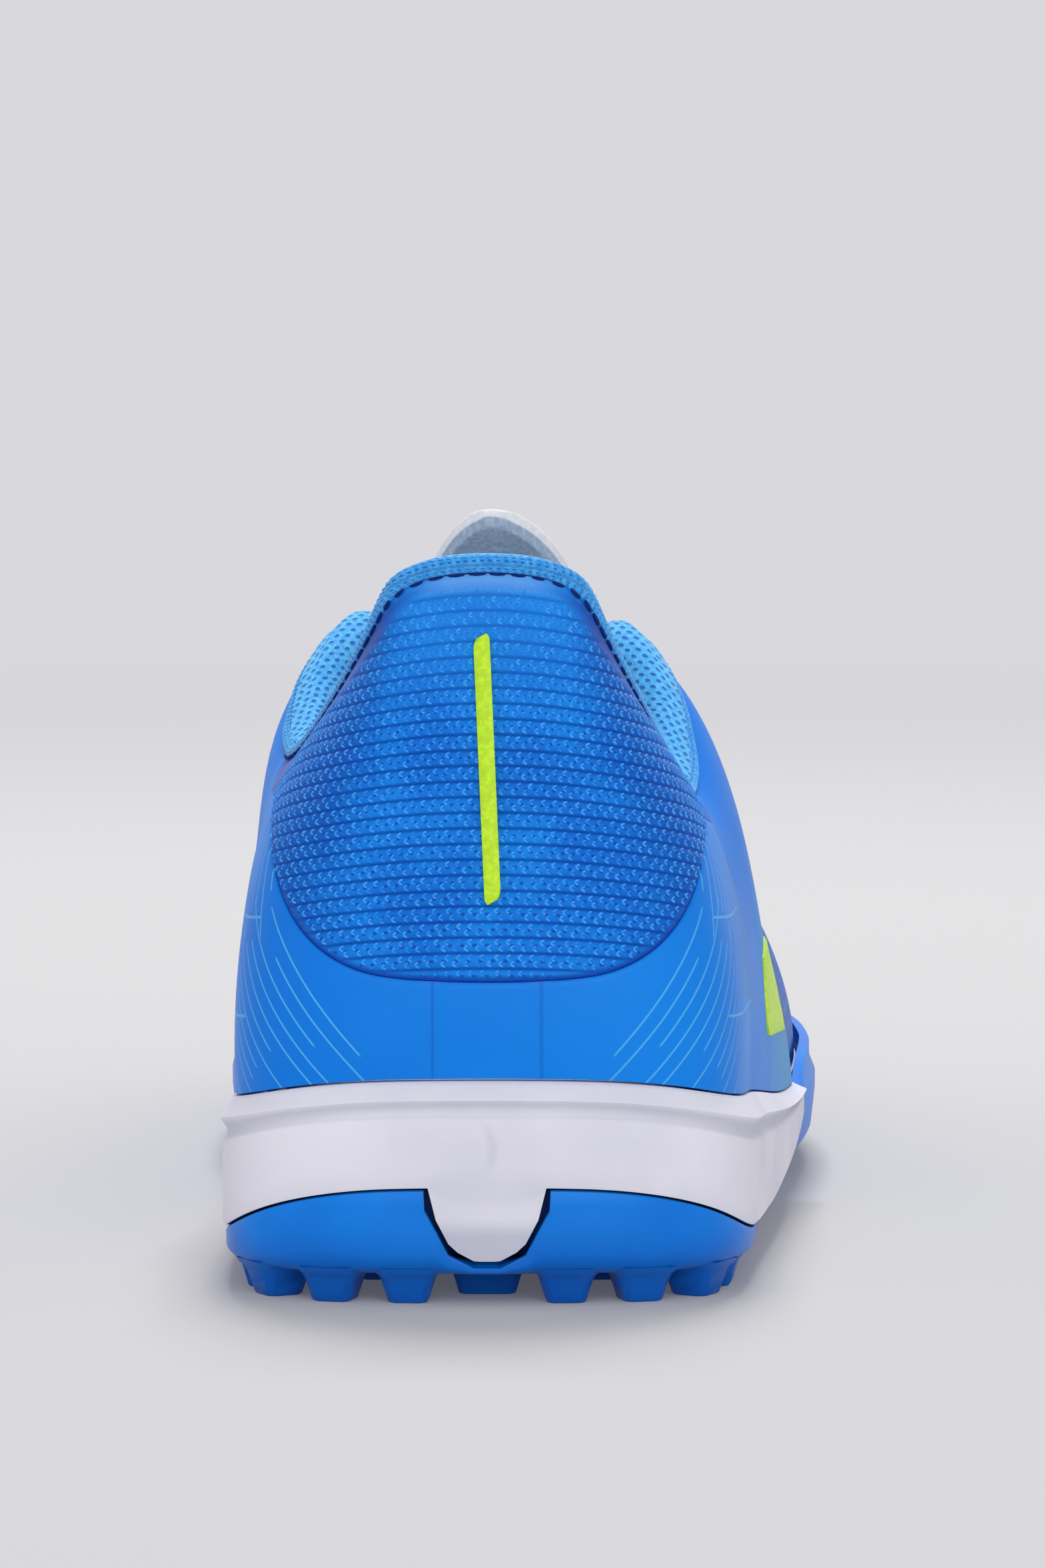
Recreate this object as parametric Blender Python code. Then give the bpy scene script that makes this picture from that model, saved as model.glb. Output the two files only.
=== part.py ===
"""Turf football shoe for the right foot: a hollow upper on a rubber outsole and a foam midsole.

Metres, +Z up. The toe points along +Y, the outer side of the foot is +X, and the lugs stand on Z = 0.
The shoe is worked out in a heel frame, with y = 0 at the back of the heel and x = 0 on the heel's
centre line, and each mesh is moved so that the origin is under the middle of the shoe's box.
"""
import math
from collections import namedtuple

import bpy
import numpy as np

# Driving sizes of the last and the sole
LENGTH = 0.284
HEEL_WIDTH = 0.079
WAIST_WIDTH = 0.084
BALL_WIDTH = 0.097
COLLAR_WIDTH = 0.057
THROAT_WIDTH = 0.022
COLLAR_HEIGHT = 0.1035
VAMP_HEIGHT = 0.0622
TOE_HEIGHT = 0.0439
HEEL_STACK = 0.0315
FORE_STACK = 0.0174
HEEL_CUP = 0.0164
FORE_CUP = 0.0205
HEEL_BED = 0.0240
FORE_BED = 0.0156
TOE_SPRING = 0.0100
ARCH_LIFT = 0.0020

# Walls, clearances and small forms
CLEARANCE = 0.0003
WALL = 0.0022
COLLAR_PAD = 0.0034
COLLAR_ROLL = 0.0012
PANEL_STEP = 0.0006
FEATHER_INSET = 0.0023
LIP_RECESS = 0.0018
LIP_UNDERCUT = 0.0011
BAND_INSET = 0.0004
CUP_WALL = 0.0016
CUP_TOP_INSET = 0.0012
CUP_DRAFT = 0.0012
PLATE = 0.0020
EDGE_ROUND = 0.0030
BED_INSET = 0.0045
LIP_ROOM = 0.0018
LIP_FADE = 0.0045
LIP_ABOVE_CUP = 0.00144
LIP_EDGE = 0.17
LIP_FOOT = 0.26
BAND_TOP = 0.34
BAND_BEVEL = 0.03
INSOLE_THICKNESS = 0.0030
INSOLE_ROUND = 0.0012
TONGUE_THICKNESS = 0.0034
TONGUE_LAP = 0.0090
TONGUE_GAP = 0.0010
TONGUE_RISE = 0.0320
TONGUE_LEAN = math.radians(46.0)

# White wedge of the midsole in the back of the outsole
WEDGE_HALF_WIDTH = 0.0089
WEDGE_DEPTH = 0.0110
WEDGE_GAP = 0.0006
WEDGE_ACROSS = [0.0, 0.21, 0.61, 0.985, 1.0]
WEDGE_DOWN = [1.0, 1.0, 0.83, 0.26, 0.0]

# Lugs
LUG_HEIGHT = 0.0043
LUG_ROOT = 0.0085
LUG_FOOT = 0.0055
LUG_PITCH = 0.0106
LUG_START = 0.0110
INNER_PITCH = 0.0160
INNER_START = 0.0312
TOE_BARE = 0.0220
HEEL_LUG_WIDTH = 0.01105
HEEL_LUG_BACK = 0.0162
LUG_EDGE = 0.0062
LUG_SUNK = 0.0008
LUG_SPACING = 1.3
LUG_BARE = [0.275, 0.425]

# Eyelets and lace
EYELET_PAIRS = 5
EYELET_RADIUS = 0.0031
EYELET_HOLE = 0.0016
EYELET_THICKNESS = 0.0007
EYELET_LIFT = 0.00065
EYELET_SECTION_RADII = [EYELET_HOLE, EYELET_RADIUS, EYELET_RADIUS, EYELET_HOLE]
EYELET_SECTION_LIFTS = [0.0, 0.0, 0.6 * EYELET_THICKNESS, EYELET_THICKNESS]
EYELET_SETBACK = 0.0058
EYELET_FIRST = 0.435
EYELET_LAST = 0.590
THROAT_CROWN = 0.42
LACE_LIFT = 0.00045
LACE_WIDTH = 0.0056
LACE_THICKNESS = 0.0011
LACE_STEPS = 10

# Shares of LENGTH between which the toe lifts, the arch rises and falls, and the bed comes down
TOE_LIFTS = 0.72
ARCH_RISES = [0.20, 0.34]
ARCH_FALLS = [0.40, 0.52]
BED_FALLS = [0.22, 0.52]

# Rows between which the collar's padding and the heel panel's step run out, and shares where padding grows
COLLAR_ENDS = [7.6, 8.8]
PANEL_ENDS = [4.6, 5.6]
PAD_GROWS = [0.50, 0.82]
PANEL_EDGE = [-0.002, 0.006]

# The outsole's rounded lower edge: its middle ring, and the most of a low cup that it may take
ROUND_INSET = 0.32
ROUND_RISE = 0.28
ROUND_MOST = 0.45

# Mesh density: sections between two rows of a table, and rows of points up and over the upper
STEPS = 2
ROWS_BELOW = 6
ROWS_ABOVE = 5
SIDE_POINTS = 14
BRIDGE_POINTS = 8
EYELET_SIDES = 10
TONGUE_COLUMNS = 10
TONGUE_ROWS = [9.0, 9.25, 9.5, 10.0, 10.5, 11.0, 11.5, 12.0, 12.5]

# The sole's outline, from the back of the heel to the tip of the toe: shares of LENGTH and of a width
Outline = namedtuple("Outline", "along width medial lateral")
OUTLINE = [
    Outline(0.0000, HEEL_WIDTH, 0.000, 0.000),
    Outline(0.0022, HEEL_WIDTH, 0.178, 0.178),
    Outline(0.0092, HEEL_WIDTH, 0.314, 0.314),
    Outline(0.0290, HEEL_WIDTH, 0.422, 0.422),
    Outline(0.0690, HEEL_WIDTH, 0.480, 0.482),
    Outline(0.1480, HEEL_WIDTH, 0.489, 0.509),
    Outline(0.2180, HEEL_WIDTH, 0.485, 0.537),
    Outline(0.2890, WAIST_WIDTH, 0.445, 0.533),
    Outline(0.3590, WAIST_WIDTH, 0.438, 0.560),
    Outline(0.4300, WAIST_WIDTH, 0.440, 0.586),
    Outline(0.5140, BALL_WIDTH, 0.406, 0.531),
    Outline(0.5920, BALL_WIDTH, 0.437, 0.547),
    Outline(0.6340, BALL_WIDTH, 0.446, 0.551),
    Outline(0.7040, BALL_WIDTH, 0.449, 0.546),
    Outline(0.7820, BALL_WIDTH, 0.443, 0.513),
    Outline(0.8560, BALL_WIDTH, 0.412, 0.439),
    Outline(0.9190, BALL_WIDTH, 0.351, 0.340),
    Outline(0.9650, BALL_WIDTH, 0.263, 0.216),
    Outline(0.9910, BALL_WIDTH, 0.144, 0.088),
    Outline(1.0000, BALL_WIDTH, 0.041, -0.041),
]

# The upper's top line: collar, throat, then the ridge of the vamp and the crown of the toe
TopLine = namedtuple("TopLine", "along width medial lateral height high_medial high_lateral")
TOP_LINE = [
    TopLine(0.0387, COLLAR_WIDTH, 0.000, 0.000, COLLAR_HEIGHT, 1.000, 1.000),
    TopLine(0.0394, COLLAR_WIDTH, 0.119, 0.119, COLLAR_HEIGHT, 0.995, 0.995),
    TopLine(0.0444, COLLAR_WIDTH, 0.221, 0.221, COLLAR_HEIGHT, 0.972, 0.972),
    TopLine(0.0670, COLLAR_WIDTH, 0.279, 0.282, COLLAR_HEIGHT, 0.907, 0.903),
    TopLine(0.1160, COLLAR_WIDTH, 0.374, 0.386, COLLAR_HEIGHT, 0.804, 0.781),
    TopLine(0.1830, COLLAR_WIDTH, 0.472, 0.481, COLLAR_HEIGHT, 0.718, 0.674),
    TopLine(0.2390, COLLAR_WIDTH, 0.495, 0.502, COLLAR_HEIGHT, 0.707, 0.649),
    TopLine(0.2920, COLLAR_WIDTH, 0.484, 0.491, COLLAR_HEIGHT, 0.780, 0.746),
    TopLine(0.3420, COLLAR_WIDTH, 0.360, 0.368, COLLAR_HEIGHT, 0.883, 0.869),
    TopLine(0.4120, THROAT_WIDTH, 0.600, 0.636, COLLAR_HEIGHT, 0.810, 0.810),
    TopLine(0.5070, THROAT_WIDTH, 0.464, 0.536, VAMP_HEIGHT, 1.175, 1.175),
    TopLine(0.5850, THROAT_WIDTH, 0.364, 0.464, VAMP_HEIGHT, 1.061, 1.061),
    TopLine(0.6230, THROAT_WIDTH, -0.068, 0.068, VAMP_HEIGHT, 1.000, 1.000),
    TopLine(0.7040, THROAT_WIDTH, -0.091, 0.091, VAMP_HEIGHT, 0.900, 0.900),
    TopLine(0.7820, THROAT_WIDTH, -0.045, 0.045, VAMP_HEIGHT, 0.793, 0.793),
    TopLine(0.8380, THROAT_WIDTH, 0.045, -0.045, TOE_HEIGHT, 1.000, 1.000),
    TopLine(0.8380, THROAT_WIDTH, 0.045, -0.045, TOE_HEIGHT, 1.000, 1.000),
    TopLine(0.8380, THROAT_WIDTH, 0.045, -0.045, TOE_HEIGHT, 1.000, 1.000),
    TopLine(0.8380, THROAT_WIDTH, 0.045, -0.045, TOE_HEIGHT, 1.000, 1.000),
    TopLine(0.8380, THROAT_WIDTH, 0.045, -0.045, TOE_HEIGHT, 1.000, 1.000),
]
VAMP_ROW = 12
RISE_ROW = 9

# How the upper's side leaves the sole and reaches its top line: degrees, and shares of the rise and span
Side = namedtuple("Side", "low_lean low_reach top_lean top_reach panel")
SIDE = [
    Side(11, 0.35, 4, 0.35, 0.188),
    Side(11, 0.35, 4, 0.35, 0.200),
    Side(10, 0.36, 6, 0.33, 0.274),
    Side(8, 0.42, 22, 0.28, 0.442),
    Side(5, 0.50, 50, 0.22, 0.690),
    Side(2, 0.58, 74, 0.17, 0.890),
    Side(0, 0.56, 76, 0.17, 0.900),
    Side(-2, 0.48, 66, 0.18, 0.900),
    Side(-4, 0.42, 58, 0.22, 0.900),
    Side(-5, 0.40, 62, 0.26, 0.900),
    Side(-3, 0.40, 70, 0.34, 0.900),
    Side(-1, 0.42, 76, 0.42, 0.900),
    Side(0, 0.46, 84, 0.46, 0.900),
    Side(0, 0.52, 88, 0.52, 0.900),
    Side(0, 0.56, 90, 0.54, 0.900),
    Side(0, 0.62, 90, 0.54, 0.900),
    Side(2, 0.74, 86, 0.52, 0.900),
    Side(3, 0.84, 80, 0.50, 0.900),
    Side(4, 0.92, 76, 0.50, 0.900),
    Side(4, 0.92, 74, 0.50, 0.900),
]

# The sole's side: top line and cup line as shares of their stacks, and how far its foot is tucked in
Sole = namedtuple("Sole", "stack feather cup_stack cup tuck")
SOLE = [
    Sole(HEEL_STACK, 1.000, HEEL_CUP, 1.000, 0.0003),
    Sole(HEEL_STACK, 0.994, HEEL_CUP, 0.988, 0.0003),
    Sole(HEEL_STACK, 0.968, HEEL_CUP, 0.915, 0.0003),
    Sole(HEEL_STACK, 0.921, HEEL_CUP, 0.750, 0.0003),
    Sole(HEEL_STACK, 0.870, HEEL_CUP, 0.537, 0.0004),
    Sole(HEEL_STACK, 0.813, HEEL_CUP, 0.415, 0.0010),
    Sole(HEEL_STACK, 0.743, HEEL_CUP, 0.400, 0.0022),
    Sole(HEEL_STACK, 0.667, HEEL_CUP, 0.463, 0.0036),
    Sole(HEEL_STACK, 0.603, HEEL_CUP, 0.561, 0.0046),
    Sole(FORE_STACK, 1.023, HEEL_CUP, 0.756, 0.0040),
    Sole(FORE_STACK, 1.000, FORE_CUP, 0.966, 0.0025),
    Sole(FORE_STACK, 1.000, FORE_CUP, 0.990, 0.0015),
    Sole(FORE_STACK, 1.000, FORE_CUP, 0.990, 0.0015),
    Sole(FORE_STACK, 1.000, FORE_CUP, 0.990, 0.0015),
    Sole(FORE_STACK, 1.000, FORE_CUP, 1.000, 0.0015),
    Sole(FORE_STACK, 1.000, FORE_CUP, 1.000, 0.0015),
    Sole(FORE_STACK, 1.000, FORE_CUP, 1.005, 0.0015),
    Sole(FORE_STACK, 1.000, FORE_CUP, 1.010, 0.0015),
    Sole(FORE_STACK, 1.000, FORE_CUP, 1.015, 0.0015),
    Sole(FORE_STACK, 1.000, FORE_CUP, 1.015, 0.0015),
]

# The tongue's flap above the collar: shares of its rise, and of half the tongue's width to each side
Flap = namedtuple("Flap", "rise medial lateral")
FLAP = [
    Flap(1.00, 0.14, 0.16),
    Flap(0.95, 0.30, 0.38),
    Flap(0.80, 0.44, 0.52),
    Flap(0.50, 0.54, 0.56),
    Flap(0.22, 0.46, 0.48),
]

LAST_ROW = len(OUTLINE) - 1


def smooth(value, start, end):
    """Rise from 0 to 1 between start and end, with level ends."""
    share = np.clip((value - start) / (end - start), 0.0, 1.0)
    return share * share * (3.0 - 2.0 * share)


def even_curve(values):
    """Curve through a ring of row values that overshoots at none of them."""
    steps = np.diff(values)
    slopes = np.zeros(len(values))
    for i in range(1, len(values) - 1):
        if steps[i - 1] * steps[i] > 0:
            slopes[i] = 2.0 * steps[i - 1] * steps[i] / (steps[i - 1] + steps[i])

    def value_at(place):
        i = int(min(max(math.floor(place), 0), len(values) - 2))
        f = place - i
        rise = f * f * (3.0 - 2.0 * f)
        return (values[i] + rise * steps[i] + (f - 2.0 * f * f + f ** 3) * slopes[i]
                + (f ** 3 - f * f) * slopes[i + 1])

    return value_at


def ring_column(medial, lateral):
    """Read a column at a ring place: minus rows on the medial side, plus rows on the lateral side."""
    ring = [lateral[-2]] + medial[:0:-1] + lateral + [medial[-2]]
    curve = even_curve(np.array(ring, dtype=float))
    return lambda place: curve(place + LAST_ROW + 1)


def both_sides(values):
    return ring_column(list(values), list(values))


def sides(medial, lateral):
    return ring_column([-value for value in medial], list(lateral))


outline_x = sides([row.width * row.medial for row in OUTLINE], [row.width * row.lateral for row in OUTLINE])
outline_y = both_sides([LENGTH * row.along for row in OUTLINE])
top_x = sides([row.width * row.medial for row in TOP_LINE], [row.width * row.lateral for row in TOP_LINE])
top_y = both_sides([LENGTH * row.along for row in TOP_LINE])
top_z = ring_column([row.height * row.high_medial for row in TOP_LINE],
                    [row.height * row.high_lateral for row in TOP_LINE])
low_lean = both_sides([math.radians(row.low_lean) for row in SIDE])
low_reach = both_sides([row.low_reach for row in SIDE])
top_lean = both_sides([math.radians(row.top_lean) for row in SIDE])
top_reach = both_sides([row.top_reach for row in SIDE])
panel_share = both_sides([row.panel for row in SIDE])
feather_base = both_sides([row.stack * row.feather for row in SOLE])
cup_base = both_sides([row.cup_stack * row.cup for row in SOLE])
tuck = both_sides([row.tuck for row in SOLE])

# Finely spaced places, to look up a place by its length or its reach
FINE_PLACES = np.linspace(0.0, LAST_ROW, 500)
FINE_Y = np.array([outline_y(place) for place in FINE_PLACES])
RING_X = [outline_x(i / 20.0) for i in range(-20 * LAST_ROW, 20 * LAST_ROW + 1)]
BOX_CENTRE_X = 0.5 * (min(RING_X) + max(RING_X))
THROAT_ROWS = np.linspace(8.0, 12.8, 120)
THROAT_Y = np.array([top_y(row) for row in THROAT_ROWS])


def toe_lift(y):
    return TOE_SPRING * np.clip((y / LENGTH - TOE_LIFTS) / (1.0 - TOE_LIFTS), 0.0, 1.0) ** 2


def under_z(y):
    """Underside of the outsole between its lugs."""
    arch = smooth(y / LENGTH, *ARCH_RISES) - smooth(y / LENGTH, *ARCH_FALLS)
    return LUG_HEIGHT + ARCH_LIFT * arch + toe_lift(y)


def bed_z(y):
    """Top of the midsole inside the upper."""
    return HEEL_BED + (FORE_BED - HEEL_BED) * smooth(y / LENGTH, *BED_FALLS) + toe_lift(y)


def feather_z(place):
    return feather_base(place) + toe_lift(outline_y(place))


def shows(place):
    """Share of the midsole's side that stands proud: 1 where the cup is low, 0 where it covers the side."""
    room = feather_base(place) - cup_base(place)
    return smooth(room, LIP_ROOM, LIP_FADE)


def outline_point(place):
    return np.array([outline_x(place), outline_y(place)])


def inward(place):
    """Level direction from the outline towards the inside of the shoe."""
    step = 0.05
    way = outline_point(place + step) - outline_point(place - step)
    return np.array([-way[1], way[0]]) / np.linalg.norm(way)


def inset_point(place, inset, height):
    x, y = outline_point(place) + inward(place) * inset
    return np.array([x, y, height])


def cup_line(place):
    """Top line of the outsole's cup, straight over the wedge."""
    return cup_base(place) + toe_lift(outline_y(place))


def wedge_drop(place, gap):
    """How far the cup's top line falls for the midsole's wedge at the back, less a gap round the wedge."""
    across = abs(outline_x(place)) / (WEDGE_HALF_WIDTH - gap)
    if across > 1.0 or abs(place) > 2.0:
        return 0.0
    return (WEDGE_DEPTH - gap) * float(np.interp(across, WEDGE_ACROSS, WEDGE_DOWN))


def cup_z(place, gap=0.0):
    return cup_line(place) - wedge_drop(place, gap)


def plate_top(place):
    return under_z(outline_y(place)) + PLATE


def wall_inset(place, height):
    """Inset of the sole's outer side at a height, without its lip."""
    low = under_z(outline_y(place))
    share = np.clip((height - low) / (feather_z(place) - low), 0.0, 1.0)
    front = (1.0 - shows(place)) * CUP_TOP_INSET * smooth(share, 0.7, 1.2) * 2.0
    return BAND_INSET * shows(place) + tuck(place) * (1.0 - share) + front


def cup_inner(place, height):
    """Inset of the cup's inner face at a height."""
    top = cup_line(place)
    depth = max(top - plate_top(place), CUP_DRAFT)
    return wall_inset(place, top) + CUP_WALL + CUP_DRAFT * np.clip((top - height) / depth, 0.0, 1.0)


def feather_inset(place):
    hidden = cup_inner(place, feather_z(place)) + 2.0 * CLEARANCE
    return FEATHER_INSET * shows(place) + hidden * (1.0 - shows(place))


def top_point(place):
    """Top line: a point of the collar or throat, or of the ridge that both sides share."""
    point = np.array([top_x(place), top_y(place), top_z(place)])
    if abs(place) < VAMP_ROW:
        return point
    return 0.5 * (point + np.array([top_x(-place), top_y(-place), top_z(-place)]))


def upper_profile(place):
    """The four handles of the upper's side at a ring place, from the sole to the top line."""
    low = inset_point(place, feather_inset(place), feather_z(place) + CLEARANCE)
    top = top_point(place)
    out = (low - top) * np.array([1.0, 1.0, 0.0])
    out = out / np.linalg.norm(out)
    rise = low_reach(place) * (top[2] - low[2])
    span = top_reach(place) * np.linalg.norm(top - low)
    up = np.array([0.0, 0.0, 1.0])
    first = low + rise * (up + out * math.tan(low_lean(place)))
    second = top + span * (out * math.sin(top_lean(place)) - up * math.cos(top_lean(place)))
    return low, first, second, top


def upper_point(place, share):
    low, first, second, top = upper_profile(place)
    rest = 1.0 - share
    return (rest ** 3 * low + 3.0 * rest * rest * share * first
            + 3.0 * rest * share * share * second + share ** 3 * top)


def upper_normal(place, share):
    """Outward normal of the upper's outer face."""
    step = 0.02
    around = upper_point(place + step, share) - upper_point(place - step, share)
    low = max(share - step, 0.0)
    high = min(share + step, 1.0)
    rise = upper_point(place, high) - upper_point(place, low)
    normal = np.cross(around, rise)
    return normal / np.linalg.norm(normal)


def share_at_height(place, height_share):
    """Share along the side where it has risen by a share of its whole rise."""
    low, high = 0.0, 1.0
    bottom = upper_point(place, 0.0)[2]
    aim = bottom + height_share * (upper_point(place, 1.0)[2] - bottom)
    for _ in range(24):
        middle = 0.5 * (low + high)
        if upper_point(place, middle)[2] < aim:
            low = middle
        else:
            high = middle
    return 0.5 * (low + high)


def wall_at(place, share):
    """Thickness of the upper: its wall, and the collar's padding near the top line."""
    collar = 1.0 - smooth(abs(place), *COLLAR_ENDS)
    return WALL + COLLAR_PAD * collar * smooth(share, *PAD_GROWS)


class Body:
    """Points and faces of one closed solid; points that coincide are one."""

    def __init__(self):
        self.points = []
        self.faces = []
        self.known = {}

    def point(self, xyz):
        key = tuple(round(float(value) * 1e7) for value in xyz)
        if key not in self.known:
            self.known[key] = len(self.points)
            self.points.append(np.array(xyz, dtype=float))
        return self.known[key]

    def face(self, *corners):
        kept = [c for i, c in enumerate(corners) if c != corners[i - 1]]
        if len(set(kept)) == len(kept) and len(kept) > 2:
            self.faces.append(kept)

    def ring(self, points):
        return [self.point(xyz) for xyz in points]

    def join(self, ring_a, ring_b, closed=True):
        """Side faces between two rings."""
        count = len(ring_a)
        for i in range(count if closed else count - 1):
            j = (i + 1) % count
            self.face(ring_a[i], ring_a[j], ring_b[j], ring_b[i])

    def cap(self, ring, up):
        """Close a ring with rungs between its medial and lateral points."""
        heel = len(ring) // 2
        for i in range(heel):
            a, b = ring[heel - i], ring[heel - i - 1]
            c, d = ring[(heel + i + 1) % len(ring)], ring[heel + i]
            if up:
                self.face(d, c, b, a)
            else:
                self.face(a, b, c, d)

    def make(self, name, material, smooth_angle=40.0):
        centre = np.array([BOX_CENTRE_X, 0.5 * LENGTH, 0.0])
        mesh = bpy.data.meshes.new(name)
        mesh.from_pydata([tuple(p - centre) for p in self.points], [], self.faces)
        mesh.validate()
        mesh.update()
        mesh.materials.append(material)
        mesh.shade_smooth()
        mesh.set_sharp_from_angle(angle=math.radians(smooth_angle))
        piece = bpy.data.objects.new(name, mesh)
        bpy.context.scene.collection.objects.link(piece)
        return piece


def make_material(name, colour, roughness, metallic=0.0):
    material = bpy.data.materials.new(name)
    material.use_nodes = True
    shader = material.node_tree.nodes["Principled BSDF"]
    shader.inputs["Base Color"].default_value = (*colour, 1.0)
    shader.inputs["Roughness"].default_value = roughness
    shader.inputs["Metallic"].default_value = metallic
    return material


def place_at_x(x):
    """Ring place near the heel's back where the outline is x from the centre line."""
    low, high = -2.0, 2.0
    for _ in range(40):
        middle = 0.5 * (low + high)
        if outline_x(middle) < x:
            low = middle
        else:
            high = middle
    return 0.5 * (low + high)


def ring_places(extra=()):
    """Places around the ring, from the toe along the medial side to the heel and back along the lateral."""
    count = LAST_ROW * STEPS
    regular = [i / STEPS for i in range(-count, count)]
    kept = [place for place in regular if all(abs(place - other) > 0.02 for other in extra)]
    return sorted(kept + list(extra))


def upper_places():
    """Extra places round the front end of the throat."""
    near = [VAMP_ROW - 0.75, VAMP_ROW - 0.25, VAMP_ROW - 0.1]
    return [-value for value in near] + near


def sole_places():
    """Extra places at the corners of the heel's wedge and along the steep rise of the cup."""
    halves = [WEDGE_HALF_WIDTH * share for share in WEDGE_ACROSS[1:]] + [WEDGE_HALF_WIDTH - WEDGE_GAP]
    values = [place_at_x(half) for half in halves] + [RISE_ROW + 0.25, RISE_ROW + 0.75]
    return [-value for value in values] + values


def build_outsole(material):
    """Rubber cup sole: plate, walls up the heel and round the forefoot, and the lugs."""
    places = ring_places(sole_places())
    body = Body()

    def ring(inset_at, height_at):
        return body.ring([inset_point(p, inset_at(p), height_at(p)) for p in places])

    def rise(place, share):
        low = under_z(outline_y(place))
        return low + share * (cup_z(place) - low)

    def knee(place):
        low = under_z(outline_y(place))
        return low + min(EDGE_ROUND, ROUND_MOST * (cup_z(place) - low))

    def rounding(place):
        return rise(place, 0.0) + ROUND_RISE * (knee(place) - rise(place, 0.0))

    def middle(place):
        return 0.5 * (knee(place) + cup_z(place))

    rings = [
        ring(lambda p: wall_inset(p, 0.0) + EDGE_ROUND, lambda p: rise(p, 0.0)),
        ring(lambda p: wall_inset(p, 0.0) + ROUND_INSET * EDGE_ROUND, rounding),
        ring(lambda p: wall_inset(p, knee(p)), knee),
        ring(lambda p: wall_inset(p, middle(p)), middle),
        ring(lambda p: wall_inset(p, cup_z(p)), cup_z),
        ring(lambda p: cup_inner(p, cup_line(p)), cup_z),
        ring(lambda p: cup_inner(p, plate_top(p)), plate_top),
    ]
    for lower, upper in zip(rings, rings[1:]):
        body.join(lower, upper)
    body.cap(rings[0], up=False)
    body.cap(rings[-1], up=True)
    outsole = body.make("outsole", material, 30.0)
    add_lugs(outsole)
    return outsole


def ring_walk(inset, start, pitch, stop_y):
    """Places on the lateral half whose inset points are a pitch apart, from the heel's back to a length."""
    fine = np.linspace(0.0, LAST_ROW - 0.2, 400)
    points = np.array([inset_point(place, inset, 0.0)[:2] for place in fine])
    lengths = np.concatenate([[0.0], np.cumsum(np.linalg.norm(np.diff(points, axis=0), axis=1))])
    count = int((lengths[-1] - start) / pitch) + 1
    walked = [float(np.interp(start + i * pitch, lengths, fine)) for i in range(count)]
    return [place for place in walked if outline_y(place) < stop_y]


def lug_spots():
    """Centre, turn and root size of each lug: an edge row round heel and forefoot, and rows inside."""
    spots = []
    bare_from, bare_to = LENGTH * LUG_BARE[0], LENGTH * LUG_BARE[1]
    for place in ring_walk(LUG_EDGE, LUG_START, LUG_PITCH, LENGTH):
        for side in (1.0, -1.0):
            x, y, _ = inset_point(side * place, LUG_EDGE + tuck(place), 0.0)
            if y < bare_from or y > bare_to:
                way = inward(side * place)
                spots.append((x, y, math.atan2(-way[0], way[1]), LUG_ROOT))
    spots.append((0.0, HEEL_LUG_BACK, 0.0, HEEL_LUG_WIDTH))
    for y in np.arange(INNER_START, LENGTH - TOE_BARE, INNER_PITCH):
        if bare_from - LUG_PITCH < y < bare_to + LUG_PITCH:
            continue
        place = float(np.interp(y, FINE_Y, FINE_PLACES))
        left, right = outline_x(-place), outline_x(place)
        room = right - left - 2.0 * (LUG_EDGE + LUG_ROOT + tuck(place))
        staggered = round((y - INNER_START) / INNER_PITCH) % 2
        count = int(room / INNER_PITCH) + 1 - staggered
        for j in range(count):
            x = 0.5 * (left + right) + (j - 0.5 * (count - 1)) * INNER_PITCH
            near = [math.hypot(x - spot[0], y - spot[1]) / (LUG_ROOT + spot[3]) for spot in spots]
            if min(near) > 0.5 * LUG_SPACING:
                spots.append((x, y, 0.0, LUG_ROOT))
    return spots


def add_lugs(outsole):
    """Join the lugs, blocks with slanted sides that stand on the floor, to the outsole."""
    body = Body()
    corners = [(-0.5, -0.5), (0.5, -0.5), (0.5, 0.5), (-0.5, 0.5)]
    for x, y, turn, width in lug_spots():
        root, foot = [], []
        for across, along in corners:
            for ring, wide, deep in ((root, width, LUG_ROOT), (foot, width - LUG_ROOT + LUG_FOOT, LUG_FOOT)):
                a, b = across * wide, along * deep
                px = x + a * math.cos(turn) - b * math.sin(turn)
                py = y + a * math.sin(turn) + b * math.cos(turn)
                pz = under_z(py) + LUG_SUNK if ring is root else toe_lift(py)
                ring.append(body.point((px, py, pz)))
        body.join(foot, root)
        body.face(*foot[::-1])
        body.face(*root)
    lugs = body.make("lugs", outsole.data.materials[0])
    lugs.hide_render = True
    lugs.display_type = "WIRE"
    union = outsole.modifiers.new("lugs", "BOOLEAN")
    union.operation = "UNION"
    union.solver = "MANIFOLD"
    union.object = lugs


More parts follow.
